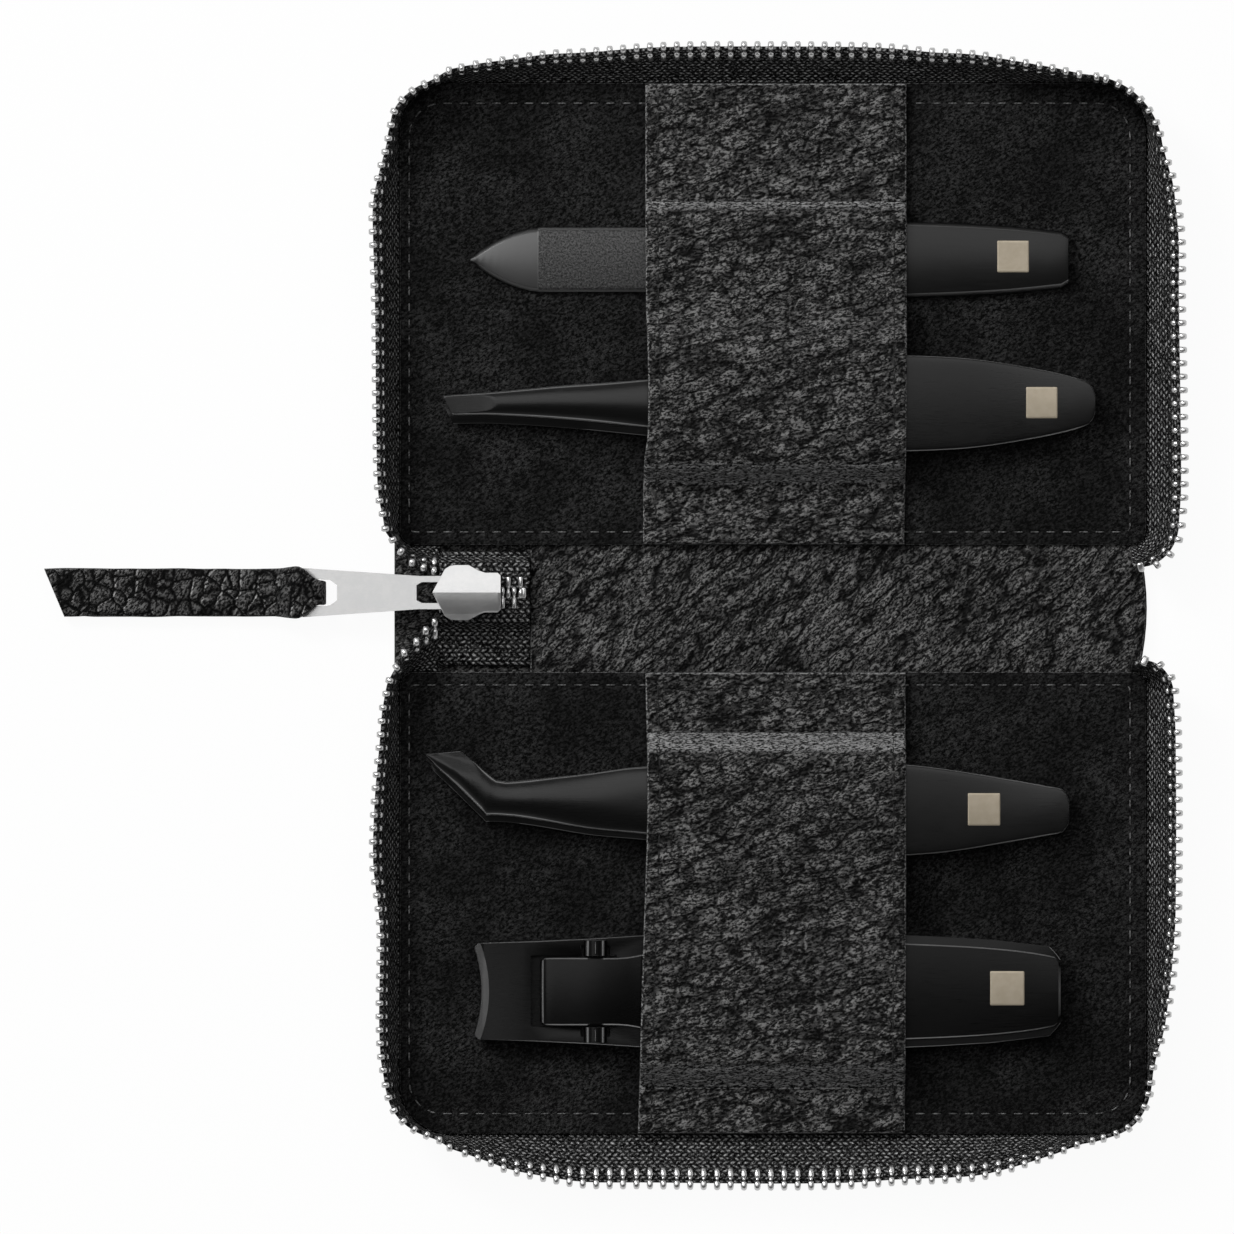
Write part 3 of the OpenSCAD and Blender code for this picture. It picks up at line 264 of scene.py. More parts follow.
# Black satin steel, brushed along the tool, with a painted highlight on its steep edges; the file's blade is gritted up
# to its smooth tip
# the second number of each look is the tone of the painted highlight on the steep edges
steelLook = {
    "tool": dict(tone=0.024, wearAndEdgeHighlight=0.2, rough=0.22, brush=0.005, grit=0.0),
    "clip": dict(tone=0.013, wearAndEdgeHighlight=0.2, rough=0.22, brush=0.006, grit=0.0),
    "pin": dict(tone=0.2, wearAndEdgeHighlight=0.3, rough=0.34, brush=0.003, grit=0.0),
    "ground": dict(tone=0.07, wearAndEdgeHighlight=0.2, rough=0.34, brush=0.01, grit=0.0),
    "file": dict(tone=0.024, wearAndEdgeHighlight=0.12, rough=0.3, brush=0.004, grit=0.09),
}
# the smooth tip is a zone of its own; its tone is raised as a painted reflection on its flat face
fileZones = dict(smoothTo=-32.5, smoothFade=0.15, gritTo=9.0, gritFade=0.5, tipToneWithReflection=0.076, gritTone=0.088)


def blackSteel(name, tone, wearAndEdgeHighlight, rough, brush, grit):
    p = Paint(name)
    at = p.place()
    hair = p.noise(p.turned(at, stretch=33), 0.1, 3.0, 0.6)
    soft = p.noise(at, 12, 2.0)
    colour = p.blendColour(hair, grey(tone * 0.8), grey(tone * 1.2))
    tilt = p.part(p.place("Normal"), "z")
    edgeHighlight = p.step(tilt, 0.5, 0.62) * p.step(tilt, 0.84, 0.76)   # painted highlight on the steep edges, where a low light glints
    colour = p.blendColour(edgeHighlight, colour, grey(wearAndEdgeHighlight))
    roughness = rough * 0.8 + 0.12 * hair + 0.12 * soft
    normal = p.bump(hair, brush)
    if grit:
        f, x = fileZones, p.part(at, "x") / mm
        smooth = p.step(x, f["smoothTo"] + f["smoothFade"], f["smoothTo"] - f["smoothFade"])
        gritted = (1 - smooth) * p.step(x, f["gritTo"] + f["gritFade"], f["gritTo"] - f["gritFade"])
        grain = p.noise(at, 0.3, 2.0, 0.8)
        # smooth tip, lighter as a painted reflection
        colour = p.blendColour(smooth, colour, grey(f["tipToneWithReflection"]))
        colour = p.blendColour(gritted * p.step(grain, 0.3, 0.72), colour, grey(f["gritTone"]))
        roughness = roughness + 0.2 * gritted
        normal = p.bump(grain * gritted, grit, normal)
    return p.finish(Base_Color=colour, Metallic=1.0, Roughness=roughness, Normal=normal)


threadLook = {"black": dict(dark=0.002, light=0.012), "grey": dict(dark=0.02, light=0.15)}


def thread(name, dark, light):
    p = Paint(name)
    at = p.place()
    ply = p.noise(p.turned(at, 0.8, 3), 0.22, 2.0, 0.6)
    return p.finish(Base_Color=p.blendColour(p.step(ply, 0.35, 0.65), grey(dark), grey(light)),
                    Roughness=0.7 + 0.15 * ply, Normal=p.bump(ply, 0.03), Specular_IOR_Level=0.3)


plateLook = dict(face=(0.345, 0.297, 0.228, 1), rough=0.34)


def plate(name, face, rough):
    p = Paint(name)
    at = p.place()
    hair = p.noise(p.turned(at, stretch=20), 0.1, 2.0, 0.6)
    wearAndEdgeHighlight = p.noise(at, 1.2, 3.0)
    colour = p.blendColour(p.step(wearAndEdgeHighlight, 0.3, 0.7), face, (face[0] * 0.9, face[1] * 0.9, face[2] * 0.88, 1))
    return p.finish(Base_Color=colour, Metallic=0.55, Roughness=rough + 0.1 * hair, Normal=p.bump(hair, 0.003))


finishes = {
    "plate": plate("champagnePlate", **plateLook),
    "suede": suede("blackSuede", **suedeLook),
    "board": board("stiffeningBoard", **boardLook),
    "tape": wovenTape("wovenTape", **tapeLook),
}
for looks, ending, make in ((threadLook, "Thread", thread), (leatherLook, "Leather", leather),
                            (metalLook, "Metal", metal), (steelLook, "Steel", blackSteel)):
    for key, look in looks.items():
        finishes[key + ending] = make(key + ending, **look)
print("finishes made:", len(finishes))


# CAD nodes that stay: welded, with rounded edges and their finish
# Edge forms: width in mm, steps, and the angle in degrees above which an edge stays crisp
edgeForms = {"slider": (0.16, 1, 9), "tool": (0.16, 1, 30), "fine": (0.08, 1, 30), "board": (0.08, 2, 30)}
keptNodes = [
    ("lower_board", "board", "board", "board"), ("upper_board", "board", "board", "board"),
    ("slider_body", "sliderMetal", "slider_metal", "slider"), ("slider_cap", "sliderMetal", "slider_metal", "slider"),
    ("puller", "sliderMetal", "slider_metal", "slider"),
    ("nail_file", "fileSteel", "grit_steel", "tool"),
    ("clipper_lower_jaw", "clipSteel", "black_steel", "tool"),
    ("clipper_upper_jaw", "clipSteel", "black_steel", "tool"),
    ("clipper_rear_rivet", "pinSteel", "black_steel", "fine"),
]


def dressNode(name, finish, slotName, edge):
    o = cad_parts[name]
    o.data.materials.clear()
    o.data.materials.append(finishes[finish])
    o.data.polygons.foreach_set("use_smooth", [True] * len(o.data.polygons))
    weld = o.modifiers.new("weld", "WELD")
    weld.merge_threshold = 1e-5
    bevel = o.modifiers.new("edges", "BEVEL")
    width, steps, sharp = edgeForms[edge]
    bevel.width, bevel.segments = width * mm, steps
    bevel.limit_method, bevel.angle_limit = "ANGLE", math.radians(32)
    bevel.use_clamp_overlap = True
    if steps > 1:
        o.modifiers.new("shading", "WEIGHTED_NORMAL")
    else:
        o.modifiers.new("shading", "EDGE_SPLIT").split_angle = math.radians(sharp)


for row in keptNodes:
    dressNode(*row)
print("CAD nodes dressed:", len(keptNodes))


# Mesh tools: everything below is worked out in mm and in the frame of the case
def makePiece(name, points, faces, finish, weave=None, tidy=False):
    mesh = bpy.data.meshes.new(name)
    mesh.from_pydata([tuple(q) for q in np.asarray(points, float) * mm], [], [tuple(map(int, f)) for f in faces])
    mesh.materials.append(finishes[finish])
    if weave is not None:
        loops = np.zeros(len(mesh.loops), np.int32)
        mesh.loops.foreach_get("vertex_index", loops)
        mesh.uv_layers.new(name="weave").data.foreach_set("uv", np.asarray(weave, float)[loops].ravel())
    if tidy:                                               # faces turned outward on a closed piece
        work = bmesh.new()
        work.from_mesh(mesh)
        bmesh.ops.recalc_face_normals(work, faces=work.faces)
        work.to_mesh(mesh)
        work.free()
    mesh.polygons.foreach_set("use_smooth", [True] * len(mesh.polygons))
    o = bpy.data.objects.new(name, mesh)
    bpy.context.scene.collection.objects.link(o)
    return o


def gridFaces(index):
    return np.stack([index[:-1, :-1], index[:-1, 1:], index[1:, 1:], index[1:, :-1]], -1).reshape(-1, 4)


# A layer of leather or suede between two surfaces, given row by row, with a rounded rim; side -1 mirrors it
def layerMesh(low, high, inset, rim, side, openRow=False):
    rows, cols = inset.shape
    border = np.zeros((rows, cols), bool)
    border[:, 0] = border[:, -1] = border[-1] = True
    border[0] |= not openRow
    swell = np.sqrt(1 - (1 - np.clip(inset / rim, 0, 1)) ** 2)[..., None]
    middle = (low + high) / 2
    top, bottom = middle + (high - middle) * swell, middle + (low - middle) * swell
    upper = np.arange(rows * cols).reshape(rows, cols)
    lower = upper.copy()
    lower[~border] = rows * cols + np.arange((~border).sum())
    points = np.concatenate([top.reshape(-1, 3), bottom[~border]])
    faces = np.concatenate([gridFaces(upper), gridFaces(lower)[:, ::-1]])
    return (points, faces) if side > 0 else (points * (1, -1, 1), faces[:, ::-1])


# Takes a piece's placement into its points; side, near and far, two distances from the spine's middle, are not used
def blendAtFold(o, side, near, far):
    if side > 0:
        near * mm
        far * mm
        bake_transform(o)
    else:
        -far * mm
        -near * mm
        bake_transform(o)


def runAlong(path):                                        # length run up to each point of a path
    return np.concatenate([[0], np.cumsum(np.linalg.norm(np.diff(path, axis=0), axis=1))])


def normalsOf(line):                                       # unit normals of a plane line
    slope = np.gradient(line, axis=0)
    slope /= np.linalg.norm(slope, axis=1)[:, None]
    return np.stack([-slope[:, 1], slope[:, 0]], 1)


def topOf(o):                                              # gives the height of a mesh's upper side at a place
    tree = BVHTree.FromPolygons([v.co.copy() for v in o.data.vertices],
                                [tuple(face.vertices) for face in o.data.polygons])
    return lambda x, y: tree.ray_cast(Vector((x * mm, y * mm, 0.05)), Vector((0, 0, -1)))[0].z / mm


# Places from start to end in even steps, closer together inside a rounded rim
rimSteps = np.array([0, 0.08, 0.25, 0.55, 1])


def lines(start, end, rimStart, rimEnd, step, extra=()):
    near = start + rimStart * rimSteps if rimStart else [start]
    far = end - rimEnd * rimSteps[::-1] if rimEnd else [end]
    between = np.linspace(near[-1], far[0], max(2, round((far[0] - near[-1]) / step) + 1))[1:-1]
    found = np.sort(np.concatenate([near, between, far, list(extra)]))
    return found[np.concatenate([[True], np.diff(found) > 0.02])]


# Distance inside a rounded rectangle; r and r0 are its far and near corner radii
def insetOf(x, y, halfX, y0, y1, r, r0):
    middle, halfY = (y0 + y1) / 2, (y1 - y0) / 2
    corner = np.where(y > middle, r, r0)
    qx, qy = np.abs(x) - halfX + corner, np.abs(y - middle) - halfY + corner
    outside = np.hypot(np.maximum(qx, 0), np.maximum(qy, 0)) + np.minimum(np.maximum(qx, qy), 0)
    return corner - outside


# Rows and columns that follow a leaf's rounded outline
def leafGrid(halfX, y0, y1, r, r0, rim, step, rowExtra=(), insetExtra=(), openRow=False):
    arcs = [y1 - r * (1 - math.cos(t)) for t in np.linspace(0, math.pi / 2, 12)]
    if r0:
        arcs += [y0 + r0 * (1 - math.cos(t)) for t in np.linspace(0, math.pi / 2, 6)]
    ys = lines(y0, y1, 0 if openRow else rim, rim, step, list(arcs) + list(rowExtra))
    half = np.full(len(ys), float(halfX))
    far, near = ys > y1 - r, ys < y0 + r0
    half[far] = halfX - r + np.sqrt(np.maximum(0, r * r - (ys[far] - y1 + r) ** 2))
    if r0:
        half[near] = halfX - r0 + np.sqrt(np.maximum(0, r0 * r0 - (y0 + r0 - ys[near]) ** 2))
    ends = np.concatenate([rimSteps * rim, list(insetExtra)])
    inner = ends[-1]
    count = round(2 * (halfX - inner) / step)
    share = np.linspace(-1, 1, count + 1)[1:-1]
    x = np.concatenate([-half[:, None] + ends, (half - inner)[:, None] * share, half[:, None] - ends[::-1]], axis=1)
    y = np.repeat(ys[:, None], x.shape[1], 1)
    return x, y


# Slow wandering of a surface: a few sines of fixed seed, between -1 and 1
def wander(x, y, size, seed, stretch=1.0):
    pick, total = random.Random(seed), 0
    for _ in range(7):
        a, f = pick.uniform(0, math.pi), pick.uniform(0.6, 1.6) * 2 * math.pi / size
        total = total + np.sin((x * math.cos(a) * stretch + y * math.sin(a)) * f + pick.uniform(0, 6.28))
    return total / 4.2


# A row of stitches as short thread loops that dip into their holes: place, rise and radius of each ring's six points
stitchForm = [(0, -1.1, 0.45), (0.12, -0.35, 0.9), (0.35, 0, 1), (0.65, 0, 1), (0.88, -0.35, 0.9), (1, -1.1, 0.45)]


def sew(name, path, pitch, length, radius, body, finish="blackThread", lift=(0, 0, 1)):
    path = np.asarray(path, float)
    run = runAlong(path)
    count = max(1, int(run[-1] / pitch))
    gap = run[-1] / count
    share, rise, width = np.array(stitchForm).T
    points, faces, up = [], [], np.array(lift, float)
    for k in range(count):
        s = k * gap + (gap - length) / 2 + length * share
        centre = np.stack([np.interp(s, run, path[:, i]) for i in range(3)], 1)
        centre += np.outer(rise, up) * radius
        along = centre[-1] - centre[0]
        side = np.cross(along / np.linalg.norm(along), up)
        for c, w in zip(centre, width):
            for a in (math.pi * j / 3 for j in range(6)):
                points.append(c + (side * math.cos(a) + up * math.sin(a)) * radius * w)
        faces += [[k * 36 + i for i in face] for face in loftFaces(6, 6)]
    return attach(makePiece(name, points, faces, finish, tidy=True), body)


def loftFaces(rings, size):                                # a skin over rings of points, closed at both ends
    faces = []
    for i in range(rings - 1):
        for j in range(size):
            a, b = i * size + j, i * size + (j + 1) % size
            faces.append((a, b, b + size, a + size))
    return faces + [list(range(size - 1, -1, -1)), [(rings - 1) * size + j for j in range(size)]]


def ease(t):
    c = np.clip(t, 0, 1)
    return c * c * (3 - 2 * c)


# The open end of the spine is drawn in and bulges a little between its folds
openEnd = dict(fromX=42, over=9, pull=1.3, pulledY=8.5, fade=5, bulge=0.7, bulgeY=7)


def drawnIn(x, y):
    f = openEnd
    pull = f["pull"] * (1 - ease((abs(y) - f["pulledY"]) / f["fade"]))
    pull = pull - f["bulge"] * np.clip(1 - (y / f["bulgeY"]) ** 2, 0, 1)
    return x - pull * ease((x - f["fromX"]) / f["over"])


# Outer leather: one skin over both leaves and the spine, in two halves with a shallow dent along the folds
cover = dict(halfX=52.45, farY=73.55, corner=8.8, thick=1.2, rim=0.6, foldY=8.2, bend=1.3, dent=0.1, step=2.2)
leaves = ((1, "upper"), (-1, "lower"))
for side, leafName in leaves:
    f = cover
    x, y = leafGrid(f["halfX"], 0, f["farY"], f["corner"], 0, f["rim"], f["step"],
                    rowExtra=np.arange(6.4, 10.2, 0.3), openRow=True)
    inset = insetOf(x, y, f["halfX"], -f["farY"], f["farY"], f["corner"], f["corner"])
    inset[:, 0] = inset[:, -1] = inset[-1] = 0
    x = drawnIn(x, y)
    dent = f["dent"] * np.exp(-((y - f["foldY"]) / 0.5) ** 2)
    low = np.stack([x, y, dent + 0.02 * (1 + wander(x, y, 16, 3))], -1)
    high = np.stack([x, y, np.full_like(x, f["thick"]) - dent], -1)
    points, faces = layerMesh(low, high, inset, f["rim"], side, openRow=True)
    o = makePiece(leafName + "CoverLeather", points, faces, "coverLeather")
    blendAtFold(o, side, f["foldY"] - f["bend"], f["foldY"] + f["bend"])
    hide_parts(leafName + "_cover", *(["spine_cover"] if side > 0 else []))
print("outer leather made")


# Suede linings, each with the seam that holds it to the tape
lining = dict(halfX=51.7, nearY=8.8, farY=72.8, corner=7.0, nearCorner=2.05, low=2.0, high=2.5, rim=0.25, step=2.0,
              seamFar=2.8, seamLeft=1.3, seamRight=2.2, seamNear=1.8, seamCorner=4.5, seamNearCorner=0.8,
              seamDip=0.13, pitch=2.25, stitch=1.2, thread=0.1, coverThread=0.16, coverZ=0.13)


def roundedPath(x0, x1, y0, y1, r, r0, z):
    path = []
    for cx, cy, k, radius in ((x1 - r0, y0 + r0, -90, r0), (x1 - r, y1 - r, 0, r), (x0 + r, y1 - r, 90, r),
                              (x0 + r0, y0 + r0, 180, r0)):
        for t in np.linspace(k, k + 90, 7):
            path.append((cx + radius * math.cos(math.radians(t)), cy + radius * math.sin(math.radians(t)), z))
    return path + path[:1]


for side, leafName in leaves:
    f = lining
    seamRows = [f["nearY"] + f["seamNear"] + k for k in (-0.5, -0.25, 0, 0.25, 0.5)]
    seamRows += [f["farY"] - f["seamFar"] + k for k in (-0.6, -0.3, 0, 0.3, 0.6)]
    x, y = leafGrid(f["halfX"], f["nearY"], f["farY"], f["corner"], f["nearCorner"], f["rim"], f["step"],
                    rowExtra=seamRows, insetExtra=(0.8, 1.05, 1.3, 1.55, 1.9, 2.2, 2.5, 3.0))
    inset = insetOf(x, y, f["halfX"], f["nearY"], f["farY"], f["corner"], f["nearCorner"])
    inset[:, 0] = inset[:, -1] = inset[0] = inset[-1] = 0
    seamX0, seamX1 = f["seamLeft"] - f["halfX"], f["halfX"] - f["seamRight"]
    seamPlan = (f["nearY"] + f["seamNear"], f["farY"] - f["seamFar"], f["seamCorner"], f["seamNearCorner"])
    offSeam = insetOf(x - (seamX0 + seamX1) / 2, y, (seamX1 - seamX0) / 2, *seamPlan)
    top = f["high"] + 0.03 * wander(x, y, 22, 5 + side) - f["seamDip"] * np.exp(-(offSeam / 0.32) ** 2)
    points, faces = layerMesh(np.stack([x, y, np.full_like(x, f["low"])], -1), np.stack([x, y, top], -1), inset,
                              f["rim"], side)
    seamPath = np.array(roundedPath(seamX0, seamX1, *seamPlan, f["high"] - 0.02)) * (1, side, 1)
    leaf = leafName + "_leaf"
    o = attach(makePiece(leafName + "SuedeLining", points, faces, "suede"), leaf)
    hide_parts(leafName + "_lining")
    sew(leafName + "LiningStitches", seamPath, f["pitch"], f["stitch"], f["thread"], leaf, "greyThread")
    sew(leafName + "CoverStitches", seamPath * (1, 1, 0) + (0, 0, f["coverZ"]), f["pitch"], f["stitch"],
        f["coverThread"], leaf, "blackThread", lift=(0, 0, -1))
print("linings made")


# Leather over the inside of the spine, creased aslant, running under both linings
spineForm = dict(x0=-33.6, x1=52.25, reach=10.3, low=1.22, high=2.1, under=1.93, foldY=8.2, bend=1.1, crease=4.6,
                 lean=0.55, relief=0.17, rim=0.4, underFrom=7.4, calmFrom=6.9)
for side, leafName in leaves:
    f = spineForm
    xs = lines(f["x0"], f["x1"], f["rim"], f["rim"], 0.75)
    ys = lines(0, f["reach"], 0, 0.3, 0.45)
    x, y = np.meshgrid(xs, ys)
    inset = np.minimum(np.minimum(x - f["x0"], f["x1"] - x), f["reach"] - y)
    inset[:, 0] = inset[:, -1] = inset[-1] = 0
    x = drawnIn(x, y)
    real = y * side
    across = (real * math.cos(f["lean"]) - x * math.sin(f["lean"])) / f["crease"] + 0.55 * wander(x, real, 15, 11)
    fold = 1 - np.abs(np.sin(np.pi * across)) ** 0.5
    level = f["high"] + (f["under"] - f["high"]) * ease(y - f["underFrom"])
    calm = 1 - ease((y - f["calmFrom"]) / 1.3)
    top = level + calm * (0.06 * wander(x, real, 9, 12) - f["relief"] * fold)
    points, faces = layerMesh(np.stack([x, y, np.full_like(x, f["low"])], -1), np.stack([x, y, top], -1), inset,
                              f["rim"], side, openRow=True)
    o = makePiece(leafName + "SpineLining", points, faces, "spineLeather")
    blendAtFold(o, side, f["foldY"] - f["bend"], f["foldY"] + f["bend"])
    if side > 0:
        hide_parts("spine_lining")
endSeam = dict(x=-32.1, half=7.0, z=2.08, pitch=2.0, stitch=1.3, thread=0.15)
sew("spineEndStitches", [(endSeam["x"], k * endSeam["half"], endSeam["z"]) for k in (-1, 1)], endSeam["pitch"],
    endSeam["stitch"], endSeam["thread"], "spine", "blackThread")
print("spine lining made")


# Straps over the tools: near and far tool as distance, width and height, edges as the photograph has them
straps = {
    "upper": dict(near=(28.4, 13.2, 5.15), far=(48.3, 10.5, 1.95), side=1,
                  left=[(8.9, -18.0), (20, -17.9), (24, -17.4), (32, -17.3), (42, -17.6), (72.7, -17.7)],
                  right=[(8.9, 18.2), (30, 18.5), (72.7, 18.5)]),
    "lower": dict(near=(28.0, 13.0, 5.15), far=(53.0, 16.3, 5.0), side=-1,
                  left=[(8.9, -17.7), (24, -17.4), (32, -17.5), (50, -18.1), (72.7, -18.7)],
                  right=[(8.9, 18.4), (40, 18.4), (72.7, 18.3)]),
}
strapForm = dict(y0=8.9, y1=72.7, width=36.2, thick=1.2, fit=0.35, ramp=0.75, sag=0.5, rim=0.5, base=2.6, puff=0.1,
                 edgeSeam=1.75, endSeam=2.4, seamDip=0.12, pitch=2.1, stitch=1.35, edgeThread=0.13, endThread=0.14)


def strapUnder(y, near, far):
    f = strapForm
    n0, n1 = near[0] - near[1] / 2 - f["fit"], near[0] + near[1] / 2 + f["fit"]
    f0, f1 = far[0] - far[1] / 2 - f["fit"], far[0] + far[1] / 2 + f["fit"]
    first = near[2] * ease(1 - (n0 - y) / (f["ramp"] * near[2]))
    last = far[2] * ease(1 - (y - f1) / (f["ramp"] * far[2] + 1))
    t = (y - n1) / (f0 - n1)
    span = near[2] + (far[2] - near[2]) * ease(t) - f["sag"] * np.sin(np.pi * np.clip(t, 0, 1))
    return f["base"] + np.where(y < n1, first, np.where(y > f0, last, span))


def makeStrap(name, near, far, side, left, right):
    f = strapForm
    ys = lines(f["y0"], f["y1"], 0.45, 0.45, 0.5)
    seams = (f["edgeSeam"], f["width"] - f["edgeSeam"])
    seamColumns = [at + k for at in seams for k in (-0.25, 0, 0.25)]
    across = lines(0, f["width"], f["rim"], f["rim"], 1.1, seamColumns) / f["width"]
    x0, x1 = curvePoints(left, ys), curvePoints(right, ys)
    x = x0[:, None] + (x1 - x0)[:, None] * across
    y = np.repeat(ys[:, None], x.shape[1], 1)
    under = strapUnder(y, near, far)
    slope = (strapUnder(y + 0.1, near, far) - strapUnder(y - 0.1, near, far)) / 0.2
    bow = np.sqrt(1 + slope ** 2)
    offEdge, offEnd = np.minimum(x - x0[:, None], x1[:, None] - x), np.minimum(y - f["y0"], f["y1"] - y)
    inset = np.minimum(offEdge, offEnd)
    inset[:, 0] = inset[:, -1] = inset[0] = inset[-1] = 0
    edgeRow, endRow = (np.exp(-((off - f[seam]) / 0.3) ** 2)
                       for off, seam in ((offEdge, "edgeSeam"), (offEnd, "endSeam")))
    thick = f["thick"] + f["puff"] * (0.5 * wander(x, y * side, 9, 21, 0.6) + 0.3 * wander(x, y * side, 4, 22, 0.5))
    thick = thick - f["seamDip"] * np.maximum(edgeRow, endRow)
    topY = np.clip(y - slope * thick / bow, f["y0"], f["y1"])
    high = np.stack([x, topY, under + thick / bow], -1)
    points, faces = layerMesh(np.stack([x, y, under], -1), high, inset, f["rim"], side)
    leaf = name + "_leaf"
    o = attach(makePiece(name + "Strap", points, faces, "strapLeather"), leaf)
    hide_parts(name + "_strap")
    surface = high * (1, side, 1) + (0, 0, 0.02)
    rows = [(edge, surface[6:-6, np.argmin(abs(across * f["width"] - at))], f["edgeThread"])
            for edge, at in zip(("Left", "Right"), seams)]
    rows += [(end, surface[np.argmin(abs(ys - at)), 8:-8], f["endThread"])
             for end, at in (("Near", f["y0"] + f["endSeam"]), ("Far", f["y1"] - f["endSeam"]))]
    for edge, path, radius in rows:
        sew(name + "Strap" + edge + "Stitches", path, f["pitch"], f["stitch"], radius, leaf, "blackThread")


# Smooth curve through listed points, as the solids use it
def curveAt(table, x):
    i = 0
    while i < len(table) - 2 and x > table[i + 1][0]:
        i += 1
    slope = lambda k: ((table[min(len(table) - 1, k + 1)][1] - table[max(0, k - 1)][1])
                       / (table[min(len(table) - 1, k + 1)][0] - table[max(0, k - 1)][0]))
    h = table[i + 1][0] - table[i][0]
    t = max(0.0, min(1.0, (x - table[i][0]) / h))
    return (table[i][1] * (1 + 2 * t) * (1 - t) ** 2 + table[i + 1][1] * t * t * (3 - 2 * t)
            + slope(i) * h * t * (1 - t) ** 2 - slope(i + 1) * h * t * t * (1 - t))


def curvePoints(table, xs):
    return np.array([curveAt(table, x) for x in xs])


for name, plan in straps.items():
    makeStrap(name, **plan)
print("straps made")


# Zip: the same seam, tilt and reach as the solids follow round each leaf. The seam has eight stretches, four
# straight ones and four corners in turn; tilt is given as place along them and degrees from upright
zipForm = dict(reach=8.2, margin=2.2, tapeT=0.5, pitch=1.86, toothLen=3.2, grip=2.05, farR=7.45, nearR=2.5, seamX=52.15,
               seamNear=8.35, seamFar=73.25, startX=-46.2, tapeZ=1.55, soften=0.35, slimFrom=5.9, slim=0.5,
               foldNear=3, foldFar=10, stations=(14, 14, 34, 16, 48, 16, 34, 14))
chains = {
    "upper": dict(side=1, end=4.5, tilt=[
        (0, 60), (0.4, 38), (1, 20), (1.5, 5), (2, 11), (2.09, 18.5), (2.2, 20.7), (2.58, 22.7), (2.73, 24.9),
        (2.83, 24.9), (2.9, 17.5), (3, 7), (3.27, 5.5), (3.57, 1.5), (3.8, 0.5), (4, 9), (4.03, 14), (4.09, 20.5),
        (4.15, 27), (4.21, 29.5), (4.33, 37), (4.5, 38), (4.63, 37), (4.69, 34.5), (4.75, 29.5), (4.81, 27),
        (4.87, 19.5), (4.93, 11.5), (5, 2), (5.5, 0), (6, 10), (6.08, 19.5), (6.13, 27), (6.18, 30.7), (6.27, 35.4),
        (6.42, 35.6), (6.67, 38), (6.9, 39), (7, 35), (7.5, 28), (8, 21)]),
    "lower": dict(side=-1, end=8.0, tilt=[
        (0, 71), (0.4, 52), (1, 26), (1.5, 8), (2, 9), (2.05, 13.5), (2.13, 16.5), (2.28, 22.7), (2.44, 24.9),
        (2.55, 19), (2.62, 16.5), (2.84, 17.5), (2.94, 15.5), (3, 11), (3.3, 8), (3.6, 3.5), (3.85, 2), (4, 10),
        (4.03, 18), (4.06, 26), (4.09, 36), (4.15, 48), (4.21, 59), (4.3, 60), (4.5, 63), (4.62, 60.5), (4.69, 53.5),
        (4.81, 46.8), (4.87, 33.5), (4.93, 18), (5, 2), (5.5, 0), (6, 0), (6.08, 6.7), (6.13, 14.5), (6.18, 18.6),
        (6.28, 25), (6.43, 30.7), (6.88, 30.7), (7, 27), (7.5, 17), (8, 5)]),
}


def seamAt(u):                                             # place and outward angle of the seam
    f = zipForm
    r, n = f["farR"], f["nearR"]
    angle = (-90, -90 - 90 * (u - 1), -180, 180 - 90 * (u - 3), 90, 90 - 90 * (u - 5), 0, -90 * (u - 7))[min(7, int(u))]
    a = math.radians(angle)
    out = np.array([math.cos(a), math.sin(a)])
    straight = lambda p, q, t: np.array([p[0] + (q[0] - p[0]) * t, p[1] + (q[1] - p[1]) * t])
    x, near, far = f["seamX"], f["seamNear"], f["seamFar"]
    at = (lambda: straight((f["startX"], near), (n - x, near), u),
          lambda: np.array([n - x, near + n]) + n * out,
          lambda: straight((-x, near + n), (-x, far - r), u - 2),
          lambda: np.array([r - x, far - r]) + r * out,
          lambda: straight((r - x, far), (x - r, far), u - 4),
          lambda: np.array([x - r, far - r]) + r * out,
          lambda: straight((x, far - r), (x, near + n), u - 6),
          lambda: np.array([x - n, near + n]) + n * out)[min(7, int(u))]()
    return at, a


def chainReach(u, end):
    full = zipForm["reach"]
    return curveAt([(0, end), (1, end + (full - end) * 0.6), (2, full)], u) if u < 2 else full


def chainFrame(u, tilt, end):                              # the tape's bend, its reach, thickness and seam directions
    at, a = seamAt(u)
    f = math.radians(curveAt(tilt, u))
    bend = np.array([at[0], at[1], zipForm["tapeZ"]])
    out = np.array([math.cos(a), math.sin(a), 0])
    reach = np.array([out[0] * math.sin(f), out[1] * math.sin(f), math.cos(f)])
    thick = np.array([out[0] * math.cos(f), out[1] * math.cos(f), -math.sin(f)])
    along = np.array([math.sin(a), -math.cos(a), 0])
    return bend, out, reach, thick, along, chainReach(u, end), f


def wovenLoop(line):                                       # a strip's section round its middle line, and its own width
    normal = normalsOf(line) * zipForm["tapeT"] / 2
    width = runAlong(line)
    return np.concatenate([line + normal, (line - normal)[::-1]]), np.concatenate([width, width[::-1]])


